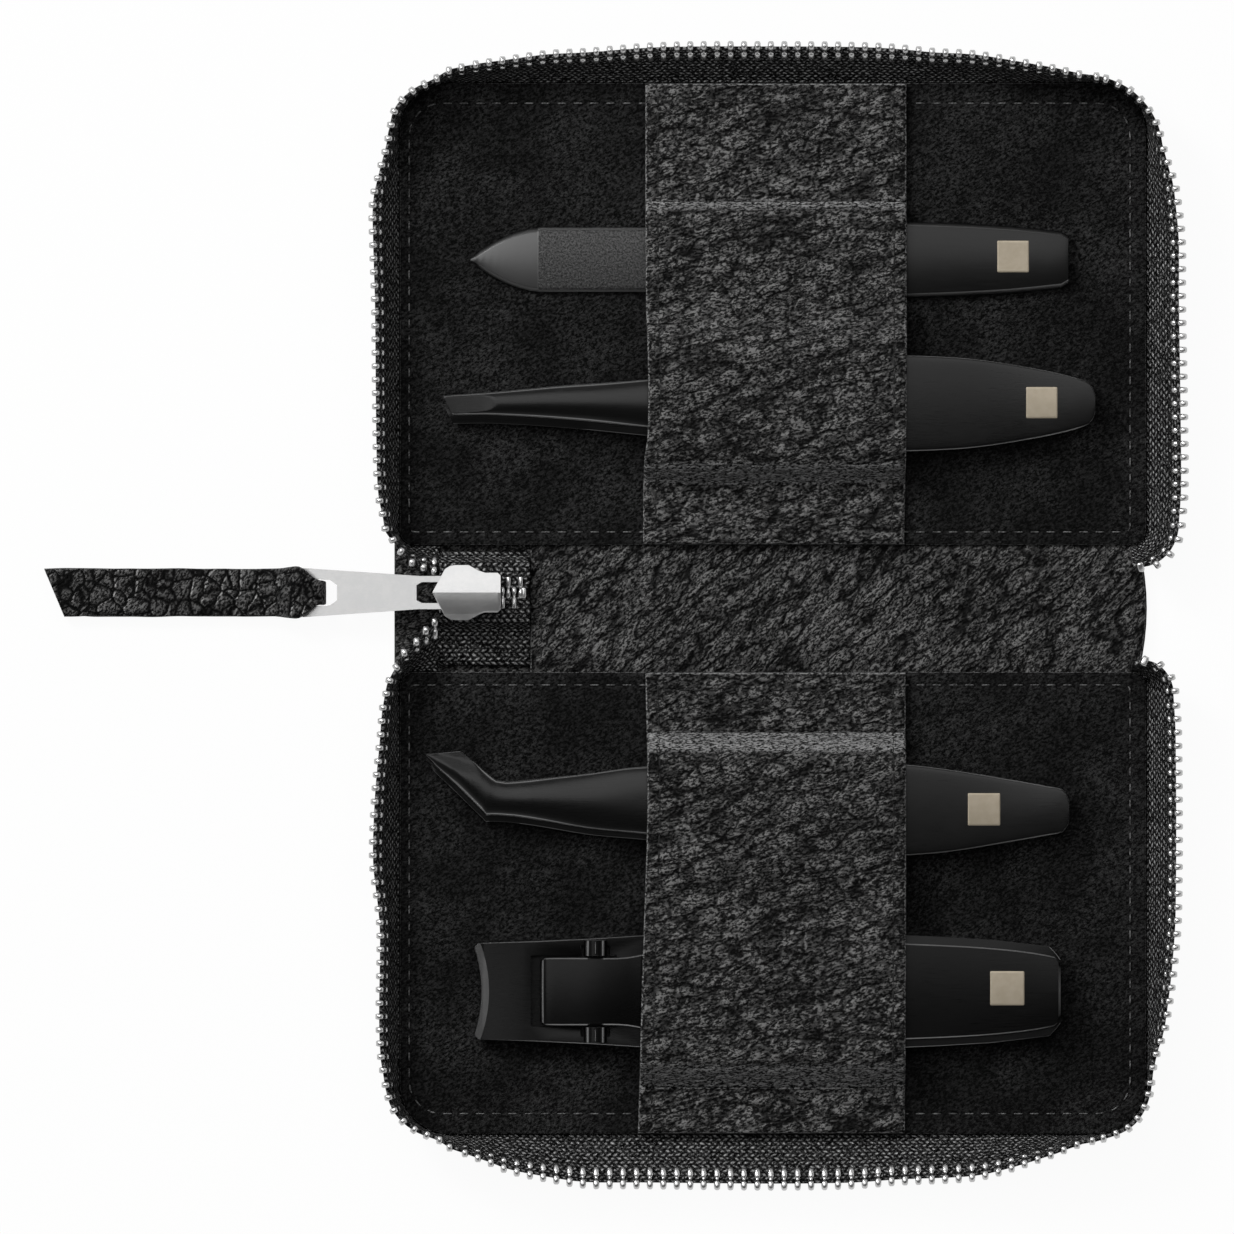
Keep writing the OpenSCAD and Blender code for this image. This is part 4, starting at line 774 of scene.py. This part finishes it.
def makeTape(name, side, end, tilt):
    f = zipForm
    rings, weave, run, last = [], [], 0.0, None
    us = [min(7.999, s + i / n) for s, n in enumerate(f["stations"]) for i in range(n + (s == 7))]
    for u in us:
        bend, out, reach, _, _, full, lean = chainFrame(u, tilt, end)
        soft, tip = f["soften"], full - f["toothLen"] + f["grip"] - f["slim"] * ease((u - f["slimFrom"]) / 0.3)
        d = np.array([math.sin(lean), math.cos(lean)])
        line = [np.array([-f["margin"], 0.0]), np.array([-1.2, 0.0])]
        for t in np.linspace(0, 1, 5):
            line.append((1 - t) ** 2 * np.array([-soft, 0]) + t * t * d * soft)
        line += [d * (soft + (tip - soft) * k) for k in (0.25, 0.5, 0.75, 1)]
        loop, width = wovenLoop(np.array(line))
        rings.append(bend + loop[:, :1] * out + loop[:, 1:] * np.array([0, 0, 1]))
        middle = bend + reach * tip * 0.6
        run += np.linalg.norm(middle - last) if last is not None else 0
        last = middle
        weave += [(run, w) for w in width]
    points = np.concatenate(rings) * (1, side, 1)
    o = makePiece(name + "ZipTape", points, loftFaces(len(rings), len(loop)), "tape", weave, tidy=True)
    blendAtFold(o, side, f["foldNear"], f["foldFar"])      # the zip crosses the fold beside the slider
    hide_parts(name + "_zip_tape")


# One cast tooth: legs clamped over the tape's edge, a neck, then the head; place, half width, half thickness
tooth = [(0.0, 0.24, 0.55), (0.07, 0.4, 0.68), (0.15, 0.43, 0.72), (1.3, 0.43, 0.72), (1.42, 0.38, 0.66),
         (1.6, 0.25, 0.56), (1.95, 0.26, 0.6), (2.15, 0.38, 0.66), (2.4, 0.44, 0.64), (2.75, 0.42, 0.56),
         (3.0, 0.33, 0.42), (3.15, 0.16, 0.2)]
toothRound = [(1, -0.6), (1, 0.6), (0.7, 1), (-0.7, 1), (-1, 0.6), (-1, -0.6), (-0.7, -1), (0.7, -1)]


def toothMesh(places, narrow=1.0):
    points, faces, size = [], [], len(toothRound)
    for k, (root, reach, thick, along) in enumerate(places):
        for place, w, h in tooth:
            for cu, sv in toothRound:
                points.append(root + reach * place + along * (w * narrow * cu) + thick * (h * sv))
        base = k * size * len(tooth)
        faces += [tuple(base + i for i in face) for face in loftFaces(len(tooth), size)]
    return np.array(points), faces


def makeTeeth(name, side, end, tilt):
    f, places = zipForm, []
    us = np.linspace(0, 7.98, 241)
    frames = [chainFrame(u, tilt, end) for u in us]
    roots = np.array([b + r * (full - f["toothLen"]) for b, _, r, _, _, full, _ in frames])
    run = runAlong(roots)
    for s in np.arange(f["pitch"] / 2, run[-1] - 0.4 * f["pitch"], f["pitch"]):
        bend, _, reach, thick, along, full, _ = chainFrame(float(np.interp(s, run, us)), tilt, end)
        places.append((bend + reach * (full - f["toothLen"]), reach, thick, along))
    root, reach, thick, along = places.pop()
    makeClamp(name + "EndClamp", name + "_top_stop", root + reach * 0.9, reach, thick, along, side)
    points, faces = toothMesh(places)
    o = makePiece(name + "ZipTeeth", points * (1, side, 1), faces, "zipMetal", tidy=True)
    blendAtFold(o, side, f["foldNear"], f["foldFar"])
    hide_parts(name + "_zip_teeth")


# A clamp at a chain's end: a rounded bar folded over the tape; place, half width, half thickness
clamp = [(-0.1, 0.3, 0.5), (0.0, 0.42, 0.66), (0.2, 0.48, 0.72), (1.2, 0.48, 0.72), (1.4, 0.42, 0.66), (1.5, 0.3, 0.5)]


def makeClamp(name, node, root, reach, thick, along, side, body=None):
    points = [root + reach * place + along * (w * cu) + thick * (h * sv)
              for place, w, h in clamp for cu, sv in toothRound]
    o = makePiece(name, np.array(points) * (1, side, 1), loftFaces(len(clamp), len(toothRound)), "zipMetal",
                  tidy=True)
    if body:
        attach(o, body)
    else:
        blendAtFold(o, side, zipForm["foldNear"], zipForm["foldFar"])
    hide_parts(node)


for name, plan in chains.items():
    makeTape(name, **plan)
    makeTeeth(name, **plan)

# The joined end of the chain on the spine, with both tapes running on beside it
joined = dict(teeth=((-1, -39.1), (1, -38.3), (-1, -37.45), (1, -36.65), (-1, -35.85), (1, -34.95)), chainY=2.2,
              half=2.24, chainZ=4.1, narrow=0.78, x0=-46.2, x1=-33.7, mouth=3.9, foldY=8.2, clampX=-34.5,
              clampHalf=0.75, clampWidth=0.7)
places = [(np.array([x, joined["chainY"] + s * joined["half"], joined["chainZ"]]), np.array([0, -s, 0]),
           np.array([0, 0, 1]), np.array([s, 0, 0])) for s, x in joined["teeth"]]
points, faces = toothMesh(places, joined["narrow"])
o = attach(makePiece("joinedZipTeeth", points, faces, "zipMetal", tidy=True), "spine")
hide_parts("joined_teeth")
clampRoot = np.array([joined["clampX"], joined["chainY"] - joined["clampHalf"], joined["chainZ"]])
makeClamp("bottomClamp", "bottom_stop", clampRoot, np.array([0, 1.0, 0]), np.array([0, 0, 1]),
          np.array([joined["clampWidth"], 0, 0]), 1, "spine")

xs = np.linspace(joined["x0"], joined["x1"], 26)
for side, sideName in ((1, "Upper"), (-1, "Lower")):
    out = joined["foldY"] - side * joined["chainY"] - 0.3
    key = [(joined["half"] - 1.75, joined["chainZ"]), (joined["mouth"] - 0.6, joined["chainZ"]),
           (joined["mouth"] + 0.1, 3.9), (min(out - 0.9, joined["mouth"] + 1.1), 1.75), (out, 1.57)]
    t = np.linspace(0, len(key) - 1, 19)
    line = np.stack([np.interp(t, range(len(key)), [k[i] for k in key]) for i in (0, 1)], 1)
    line[1:-1] = (line[:-2] + 2 * line[1:-1] + line[2:]) / 4
    loop, width = wovenLoop(line)
    points = [(x, joined["chainY"] + side * q[0], q[1]) for x in xs for q in loop]
    o = makePiece("endTape" + sideName, points, loftFaces(len(xs), len(loop)), "tape",
                  [(x - xs[0], w) for x in xs for w in width], tidy=True)
    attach(o, "spine")
    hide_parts(*(["zip_end_tape"] if side > 0 else []))
print("zip made")


# Leather tab: one strip, folded round the puller's end bar and laid back on itself
tab = dict(barX=-65.99, barY=2.2, barZ=2.2, length=35.0, slant=2.8, relief=0.1, floorZ=0.04)
tabPath = [  # x and z of the strip's middle, half its width, its thickness, counted from the bar
    (-35.0, -1.6, 3.3, 1.0), (-28, -1.6, 3.35, 1.0), (-20, -1.6, 3.3, 1.0), (-12, -1.6, 3.3, 1.0), (-6, -1.6, 3.3, 1.0),
    (-3, -1.6, 3.3, 1.0), (-1.2, -1.55, 3.2, 1.05), (0.4, -1.5, 2.6, 1.1), (1.6, -1.45, 1.8, 1.15),
    (2.6, -1.25, 1.7, 1.2), (3.3, -0.6, 1.68, 1.25), (3.45, 0.2, 1.68, 1.25), (3.0, 1.05, 1.72, 1.2),
    (2.2, 1.5, 2.1, 1.15), (1.2, 1.68, 3.1, 1.1), (0.2, 1.62, 3.6, 1.1), (-0.8, 1.25, 3.55, 1.1),
    (-1.9, 0.45, 3.4, 1.1), (-3.0, -0.25, 3.32, 1.05), (-4.2, -0.52, 3.3, 1.0), (-6, -0.6, 3.3, 1.0),
    (-12, -0.58, 3.3, 1.0), (-20, -0.6, 3.35, 1.0), (-28, -0.58, 3.3, 1.0), (-35.0, -0.6, 3.3, 1.0)]


def makeTab():
    key = np.array(tabPath)
    run = runAlong(key[:, :2])
    s = np.concatenate([np.arange(0, run[-1], 0.4), run[-1:]])
    smooth = np.stack([curvePoints(list(zip(run, key[:, i])), s) for i in range(4)], 1)
    normal = -normalsOf(smooth[:, :2])
    ring = []                                              # the strip's section: shares of half width and thickness
    for k in (1, -1):
        edge = [(-k, 0.0), (-k, 0.45), (-k * 0.955, 0.85), (-k * 0.88, 1.0)]
        ring += [(a, k * b) for a, b in edge] + [(-k * c, k) for c in (0.65, 0.4, 0.15, -0.15, -0.4, -0.65)]
        ring += [(k * 0.88, k * 1.0), (k * 0.955, k * 0.85), (k, k * 0.45)]
    rings = []
    for (x, z, half, thick), n in zip(smooth, normal):
        lean = tab["slant"] * ease((x + tab["length"] + 0.4) / -9 + 1)
        row = []
        for across, up in ring:
            yy = across * half
            h = up * thick / 2
            px, pz = x + n[0] * h, z + n[1] * h
            outer = 1 if up * n[1] > 0 else 0.3            # the strip's lower side is nearly smooth
            bumpy = tab["relief"] * (wander(np.array(px), np.array(yy), 3.2, 31) * abs(up) * outer)
            px, pz = px + n[0] * bumpy * np.sign(up), pz + n[1] * bumpy * np.sign(up)
            yy += 0.08 * wander(np.array(px), np.array(pz), 5, 33) * abs(across) ** 3
            row.append((tab["barX"] + px + lean * (0.5 - yy / (2 * half)), tab["barY"] + yy,
                        max(tab["floorZ"], tab["barZ"] + pz)))
        rings.append(row)
    o = makePiece("leatherPullTab", np.concatenate(rings), loftFaces(len(rings), len(ring)), "tabLeather",
                  tidy=True)
    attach(o, "pull_tab")
    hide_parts("pull_tab")


makeTab()
print("tab made")


# Arms of the two pairs of tweezers: flat plates at the back that turn into half cones towards the points.
# Outline tables count from the back: distance, high edge, low edge; the claw is given by its two edges' points,
# cap is the most height at a distance, facet a plane that cuts the claw's upper side
arms = {
    "tweezers": dict(x=44.6, y=28.4, length=91.1, bodies=("tweezers_top", "tweezers"), offset=1.18, cone=(30, 62),
                     weld=5.3, outline=[
        (0, 2.18, -2.18), (0.9, 2.9, -2.9), (3.6, 3.83, -3.83), (9, 4.95, -4.95), (16.3, 6.07, -6.07),
        (21.7, 6.47, -6.47), (27.1, 6.6, -6.6), (36, 6.2, -6.2), (46, 5.1, -5.1), (55, 4.05, -4.05), (63, 3.2, -3.2),
        (74.1, 2.42, -2.14), (83.4, 1.56, -1.6), (88.0, 1.25, -1.62)],
        claw=[((-44.2, 1.2), (-43.6, -1.63)), ((-45.1, 1.1), (-43.9, -1.64)), ((-45.66, 1.03), (-44.3, -1.64))],
        cap=[(0, 9), (82.9, 0.8), (83.6, 0.6), (84.6, 0.48), (86, 0.42), (90.4, 0.36)]),
    "cuticle": dict(x=41.0, y=-28.0, length=89.3, bodies=("cuticle_top", "cuticle_tweezers"), offset=0.9, cone=(30, 66),
                    weld=5.2, facet=(-0.1063, -0.4188, -13.08), facetX=-36.9, outline=[
        (0, 2.34, -2.34), (1, 2.99, -2.99), (3, 3.4, -3.4), (8, 4.29, -4.29), (16.1, 5.6, -5.6), (22.3, 6.35, -6.15),
        (28.6, 6.5, -6.4), (40, 6.5, -5.9), (50, 6.35, -4.3), (59.4, 6.08, -3.16), (66.5, 5.13, -2.43),
        (72.9, 4.47, -1.36), (76.8, 4.08, -0.78)],
        claw=[((-36.99, 4.01), (-37.8, -0.62)), ((-38.27, 4.22), (-39.0, -0.6)), ((-39.6, 5.3), (-39.75, -0.63)),
              ((-41.0, 6.45), (-40.9, 0.5)), ((-42.3, 7.5), (-42.3, 1.87)), ((-43.27, 8.26), (-43.7, 3.25)),
              ((-44.6, 8.14), (-45.2, 4.7)), ((-46.2, 8.0), (-46.7, 6.1)), ((-48.0, 7.9), (-48.09, 7.75))],
        cap=[(0, 9), (79, 1.2), (84, 1.1), (89.1, 0.45)]),
}
armForm = dict(middleZ=5.0, thick=0.8, crown=0.35, edge=0.25, chamfer=0.1, inside=0.28, roundEnd=0.9, fullHalf=2.7,
               weldLength=8.0, weldHalf=0.25)
# How far an arm's top stands off the middle, over its length
armBow = [(0, 1.0), (0.1, 1.0), (0.3, 1.763), (0.55, 2.05), (0.8, 1.927), (1, 1.558)]


def loftPiece(name, rings, finish, slotName, body, *nodes, sharp=25):
    o = makePiece(name, np.concatenate(rings), loftFaces(len(rings), len(rings[0])), finish, tidy=True)
    o.modifiers.new("sharpEdges", "EDGE_SPLIT").split_angle = math.radians(sharp)
    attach(o, body)
    if nodes:
        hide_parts(*nodes)
    return o


# Skin over the slider's cap: an upper facet, a groove along the ridge, an arched lower facet and a bright rim.
# The outline gives place and the shares of the cap's and of the back's half widths
capSkin = dict(bulge=0.17, groove=0.05, grooveHalf=0.09, rim=0.2, drop=0.16, lift=0.012, backHalf=2.75, fall=0.8,
               noseHalf=0.1, tail=0.4, sharp=14, outline=[
                   (1.2, 0.62, 0), (1.7, 0.86, 0), (2.4, 0.97, 0), (3.1, 1, 0), (5, 1, 0), (6.2, 0.35, 0.65),
                   (7.2, 0, 1), (9.4, 0, 1)])


def makeCapSkin():
    f = capSkin
    q = np.array([v.co[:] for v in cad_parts["slider_cap"].data.vertices]) / mm
    low, high = q.min(0), q.max(0)
    wide, middle, length = (high[1] - low[1]) / 2, (high[1] + low[1]) / 2, high[0] - low[0]
    outline = [(0, f["noseHalf"])] + [(x, wide * a + f["backHalf"] * b) for x, a, b in f["outline"]]
    rings = []
    for x in np.concatenate([[0.12, 0.3], np.linspace(0.55, length - 0.35, 48), [length - 0.16]]):
        w = np.interp(x, *zip(*outline)) - max(0, x - (length - f["tail"]))
        ends = min(1.0, min(x - 0.1, length - 0.1 - x) / f["rim"])
        across = []
        for t in (-1, -0.97, -0.9, -0.8, -0.65, -0.5, -0.35, -0.2, -0.1):
            y = t * max(0.05, w - f["rim"])
            across.append((y, 4 * f["bulge"] * abs(y / wide) * (1 - abs(y / wide))))
        g = min(f["grooveHalf"], 0.3 * w)
        across += [(-g, 0.02), (0, -f["groove"]), (g, 0), ((w - f["rim"]) * 0.5, 0), (max(g * 1.5, w - f["rim"]), 0)]
        row = [(y, high[2] - f["fall"] * abs(y) / wide + f["lift"] + lift) for y, lift in across]
        row = [(-w - 0.01, row[0][1] - f["drop"])] + row + [(w + 0.01, row[-1][1] - f["drop"])]
        rings.append([(low[0] + x, middle + y, z - f["drop"] * (1 - max(0.0, ends)) * 0.6) for y, z in row])
    index = np.arange(len(rings) * len(rings[0])).reshape(len(rings), len(rings[0]))
    o = makePiece("sliderCapSkin", np.reshape(rings, (-1, 3)), gridFaces(index), "sliderMetal")
    o.modifiers.new("sharpEdges", "EDGE_SPLIT").split_angle = math.radians(f["sharp"])
    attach(o, "slider")


makeCapSkin()
print("slider cap dressed")


def makeArm(name, plan, top):
    f, stations = armForm, []
    last = plan["outline"][-1][0]
    for d in np.concatenate([[0, 0.15, 0.45, 0.9, 1.6], np.linspace(2.6, last - 9, 60),
                             np.linspace(last - 8.7, last, 30)]):
        hi, lo = (curveAt([(q[0], q[k]) for q in plan["outline"]], d) for k in (1, 2))
        if d < f["roundEnd"]:                              # the end is rounded off
            hi, lo = (v * (0.55 + 0.45 * math.sqrt(1 - (1 - d / f["roundEnd"]) ** 2)) for v in (hi, lo))
        stations.append((np.array([plan["x"] - d, hi]), np.array([plan["x"] - d, lo])))
    before = (stations[-1][0], stations[-1][1])
    for hi, lo in plan["claw"]:
        for k in (0.5, 1.0):
            stations.append(tuple(before[i] + (np.array(p) - before[i]) * k for i, p in enumerate((hi, lo))))
        before = (np.array(hi), np.array(lo))
    rings = []
    for hi, lo in stations:
        d = plan["x"] - (hi[0] + lo[0]) / 2
        cone = float(ease((d - plan["cone"][0]) / (plan["cone"][1] - plan["cone"][0])))
        bow = max(1.0, curveAt(armBow, d / plan["length"]))
        shift = 0 if top else -plan["offset"] * cone
        u = -np.cos(np.linspace(0, math.pi, 37))
        dome = (1 - abs(u) ** (16 - 14 * cone)) ** (0.0625 + 0.6875 * cone)
        half, c = np.linalg.norm(hi - lo) / 2, f["chamfer"]
        full = 1 - cone * (1 - min(1, half / f["fullHalf"]))   # a narrow arm is a flatter one
        crown = f["crown"] * (0.55 + 0.45 * cone) * min(1, d / 4 + 0.4)
        h = f["edge"] + full * ((f["thick"] - f["edge"]) * dome + crown * (1 - u * u))
        inner = 1 - min(0.3, c / half)
        inside = -f["inside"] * cone * np.array([0, 0.75, 1, 0.75, 0])
        h = np.concatenate([[0.7 * c, f["edge"] - c], h, [f["edge"] - c, 0.7 * c], inside])
        t = (np.concatenate([[-1, -1], u * inner, [1, 1, inner, 0.5, 0, -0.5, -inner]]) + 1) / 2
        h = np.minimum(h, np.interp(d, *zip(*plan["cap"])))
        edge = lo + (hi - lo) * t[:, None]
        if "facet" in plan and hi[0] < plan["facetX"]:     # ground flat beside the claw's ridge
            a, b, c = plan["facet"]
            h = np.minimum(h, np.maximum(f["edge"], a * edge[:, 0] + b * (edge[:, 1] + plan["y"]) + c))
        z = f["middleZ"] + (1 if top else -1) * (bow - f["thick"] + h)
        rings.append(np.stack([edge[:, 0], edge[:, 1] + plan["y"] + shift, z], 1))
    part = "upper" if top else "lower"
    loftPiece(name + part.capitalize() + "Arm", rings, "toolSteel", "black_steel", plan["bodies"][0 if top else 1],
              name + "_" + part + "_arm")


for name, plan in arms.items():
    makeArm(name, plan, True)
    makeArm(name, plan, False)
    f, half = armForm, plan["weld"] / 2
    rings = [[(plan["x"] - 0.5 - k * f["weldLength"], plan["y"] + a * half * w, f["middleZ"] + b * f["weldHalf"])
              for a, b in ((-1, -1), (1, -1), (1, 1), (-1, 1))] for k, w in ((0, 0.8), (0.06, 1), (0.94, 1), (1, 0.8))]
    loftPiece(name + "WeldPad", rings, "toolSteel", "black_steel", plan["bodies"][1])
print("tweezers made")


# Lever of the clipper: one pressed plate that humps over its pin; place from its nose, half width and top
lever = dict(x=-32.7, y=-53.0, low=5.9, chamfer=0.16, crown=0.22, outline=[
    (0.45, 4.15), (0.75, 4.45), (1.3, 4.62), (6, 4.65), (12, 4.68), (15.5, 5.3), (19, 6.2), (24, 6.8), (43.5, 6.8),
    (58, 6.32), (66, 5.7), (71.3, 4.9), (72.0, 4.5), (72.5, 3.7)],
    rise=[(0.45, 1.2), (0.7, 1.6), (1.0, 1.85), (1.35, 2.0), (1.85, 2.1), (4, 2.3), (8.1, 2.55), (11.5, 2.15),
          (14, 1.65), (18, 1.22), (72.2, 1.12)], endFrom=72.2, endFall=1.1)
rings = []
for x in np.concatenate([[0.45, 0.57, 0.7, 0.85, 1.0, 1.2, 1.4, 1.85, 2.4], np.linspace(3.4, 71.6, 60),
                         [72.0, 72.2, 72.4, 72.5]]):
    w, top = curveAt(lever["outline"], x), curveAt(lever["rise"], x) - lever["endFall"] * max(0, x - lever["endFrom"])
    c = lever["chamfer"]
    across = [(-w, 0.05), (-w, top - c)]
    across += [(k * (w - c), top + lever["crown"] * (1 - k * k)) for k in np.linspace(-1, 1, 11)]
    across += [(w, top - c), (w, 0.05)]
    rings.append([(lever["x"] + x, lever["y"] + a, lever["low"] + b) for a, b in across])
loftPiece("clipperLeverPlate", rings, "clipSteel", "black_steel", "clipper_handle", "clipper_lever")

# The two bumps beside the lever that hold its pin
bumps = dict(x=-24.6, y=-53.0, reach=1.6, low=5.4, rise=3.4, inner=5.0, outer=7.1)
for side, sideName in ((1, "Upper"), (-1, "Lower")):
    f, rings = bumps, []
    for k, size in ((0, 0.9), (0.05, 0.97), (0.12, 1), (0.88, 1), (0.95, 0.97), (1, 0.9)):
        y = f["y"] + side * (f["inner"] + (f["outer"] - f["inner"]) * k)
        rings.append([(f["x"] + f["reach"] * size * math.cos(a), y, f["low"] + f["rise"] * size * math.sin(a) ** 0.8)
                      for a in np.linspace(0, math.pi, 17)])
    loftPiece("pinBump" + sideName, rings, "pinSteel", "black_steel", "clipper",
              *(["clipper_cross_pin"] if side > 0 else []))

# Ground band along the hollow cutting edge, laid on the upper jaw
cutting = dict(x=-41.6, y=-53.0, half=6.65, hollow=19, corner=5.95, band=1.04, drop=0.3, proud=0.03)


def makeCuttingBand():
    f, rows = cutting, []
    heightAt = topOf(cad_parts["clipper_upper_jaw"])
    start = math.sqrt(f["hollow"] ** 2 - f["half"] ** 2)
    for y in np.linspace(-f["half"], f["half"], 61):
        arc = math.sqrt(f["hollow"] ** 2 - y * y) - start
        near = max(arc, (abs(y) - f["corner"]) * 1.2)
        far = max(arc + f["band"], near + 0.12)
        row = []
        for k in (0, 0.12, 0.4, 0.7, 1):
            x = f["x"] + near + 0.04 + (far - near) * k
            row.append((x, f["y"] + y, heightAt(x, f["y"] + y) + f["proud"]))
        row.insert(0, (row[0][0] - 0.06, row[0][1], row[0][2] - f["drop"]))
        rows.append(row)
    index = np.arange(len(rows) * len(row)).reshape(len(rows), len(row))
    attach(makePiece("cuttingBand", np.reshape(rows, (-1, 3)), gridFaces(index), "groundSteel"),
            "clipper_jaw")


makeCuttingBand()
print("clipper dressed")


# Bare plates let into the tools where they are marked: size, place, body and the piece that carries each
plateForm = dict(corner=0.12, thick=0.07, rim=0.12, sunk=0.01)
plates = [("filePlate", 4.4, 33.25, 48.75, "nail_file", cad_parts["nail_file"]),
          ("tweezersPlate", 4.35, 37.2, 28.5, "tweezers_top", bpy.data.objects["tweezersUpperArm"]),
          ("cuticlePlate", 4.5, 29.2, -27.8, "cuticle_top", bpy.data.objects["cuticleUpperArm"]),
          ("clipperPlate", 4.75, 32.4, -52.55, "clipper_handle", bpy.data.objects["clipperLeverPlate"])]


def makePlate(name, size, cx, cy, body, carrier):
    f, half, heightAt = plateForm, size / 2, topOf(carrier)
    grid = lines(-half, half, 0.3, 0.3, 0.45)
    points = []
    for gy in grid:
        for gx in grid:
            cut = max(0.0, abs(gx) + abs(gy) - (2 * half - f["corner"]))
            px, py = cx + gx - math.copysign(cut / 2, gx), cy + gy - math.copysign(cut / 2, gy)
            rim = min(1.0, max(0.0, (half - max(abs(gx), abs(gy)))) / f["rim"])
            points.append((px, py, heightAt(px, py) - f["sunk"] + f["thick"] * rim ** 0.5))
    n = len(grid)
    index = np.arange(n * n).reshape(n, n)
    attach(makePiece(name, points, gridFaces(index), "plate"), body)


for row in plates:
    makePlate(*row)
print("plates made")


# Camera straight above, as in the photograph
cameraPlan = dict(x=-21.6, y=-1.18, focusZ=4.0, width=170.9, lens=800.0, sensor=36.0)
cameraData = bpy.data.cameras.new("overheadCamera")
cameraData.lens, cameraData.sensor_width = cameraPlan["lens"], cameraPlan["sensor"]
cameraData.clip_start, cameraData.clip_end = 0.1, 50
camera = bpy.data.objects.new("overheadCamera", cameraData)
bpy.context.scene.collection.objects.link(camera)
rise = cameraPlan["width"] * cameraPlan["lens"] / cameraPlan["sensor"] + cameraPlan["focusZ"]
camera.location = (cameraPlan["x"] * mm, cameraPlan["y"] * mm, rise * mm)
bpy.context.scene.camera = camera

# Floor and backdrop: white to the camera and in reflections, weak as light on the case
studio = dict(floorDrop=0.06, floorTone=0.8, floorShare=0.95, skyTone=0.15, horizon=0.34, above=0.6, seenWhite=1.0)
lamps = {
    "overheadSoftbox": dict(at=(-0.15, 0.43, 1.1), wide=1.6, deep=0.9, power=8.8),
    "keySoftbox": dict(at=(-0.62, 0.62, 0.72), wide=0.3, deep=0.3, power=8.0),
}


def makeFloor():
    p = Paint("paleFloor")
    diffuse = p.node("ShaderNodeBsdfDiffuse", sockets={"Color": grey(studio["floorTone"])})
    glow = p.node("ShaderNodeEmission", sockets={"Color": (1, 1, 1, 1), "Strength": studio["seenWhite"]})
    p.show(p.node("ShaderNodeMixShader", sockets={0: p.seenRay() * studio["floorShare"], 1: diffuse, 2: glow}))
    half, z = 3.0, -studio["floorDrop"] * mm
    mesh = bpy.data.meshes.new("paleFloor")
    mesh.from_pydata([(-half, -half, z), (half, -half, z), (half, half, z), (-half, half, z)], [], [(0, 1, 2, 3)])
    mesh.materials.append(p.material)
    floor = bpy.data.objects.new("paleFloor", mesh)
    bpy.context.scene.collection.objects.link(floor)


def lightScene():
    world = bpy.data.worlds.new("studioWorld")
    bpy.context.scene.world = world
    p = Paint("studioWorld", world)
    height = p.part(p.place("Generated"), "z")
    backdrop = p.seenRay() * p.step(height, studio["above"], studio["horizon"])
    level = studio["skyTone"] + backdrop * (studio["seenWhite"] - studio["skyTone"])
    p.show(p.node("ShaderNodeBackground", sockets={"Color": (1, 1, 1, 1), "Strength": level}), "World")
    for name, plan in lamps.items():
        data = bpy.data.lights.new(name, "AREA")
        data.shape, data.size, data.size_y, data.energy = "RECTANGLE", plan["wide"], plan["deep"], plan["power"]
        lamp = bpy.data.objects.new(name, data)
        lamp.location = plan["at"]
        lamp.rotation_euler = (-Vector(plan["at"])).to_track_quat("-Z", "Y").to_euler()
        lamp.visible_camera = False
        bpy.context.scene.collection.objects.link(lamp)


makeFloor()
lightScene()
bpy.context.scene.view_settings.view_transform = "Standard"
print("studio ready")
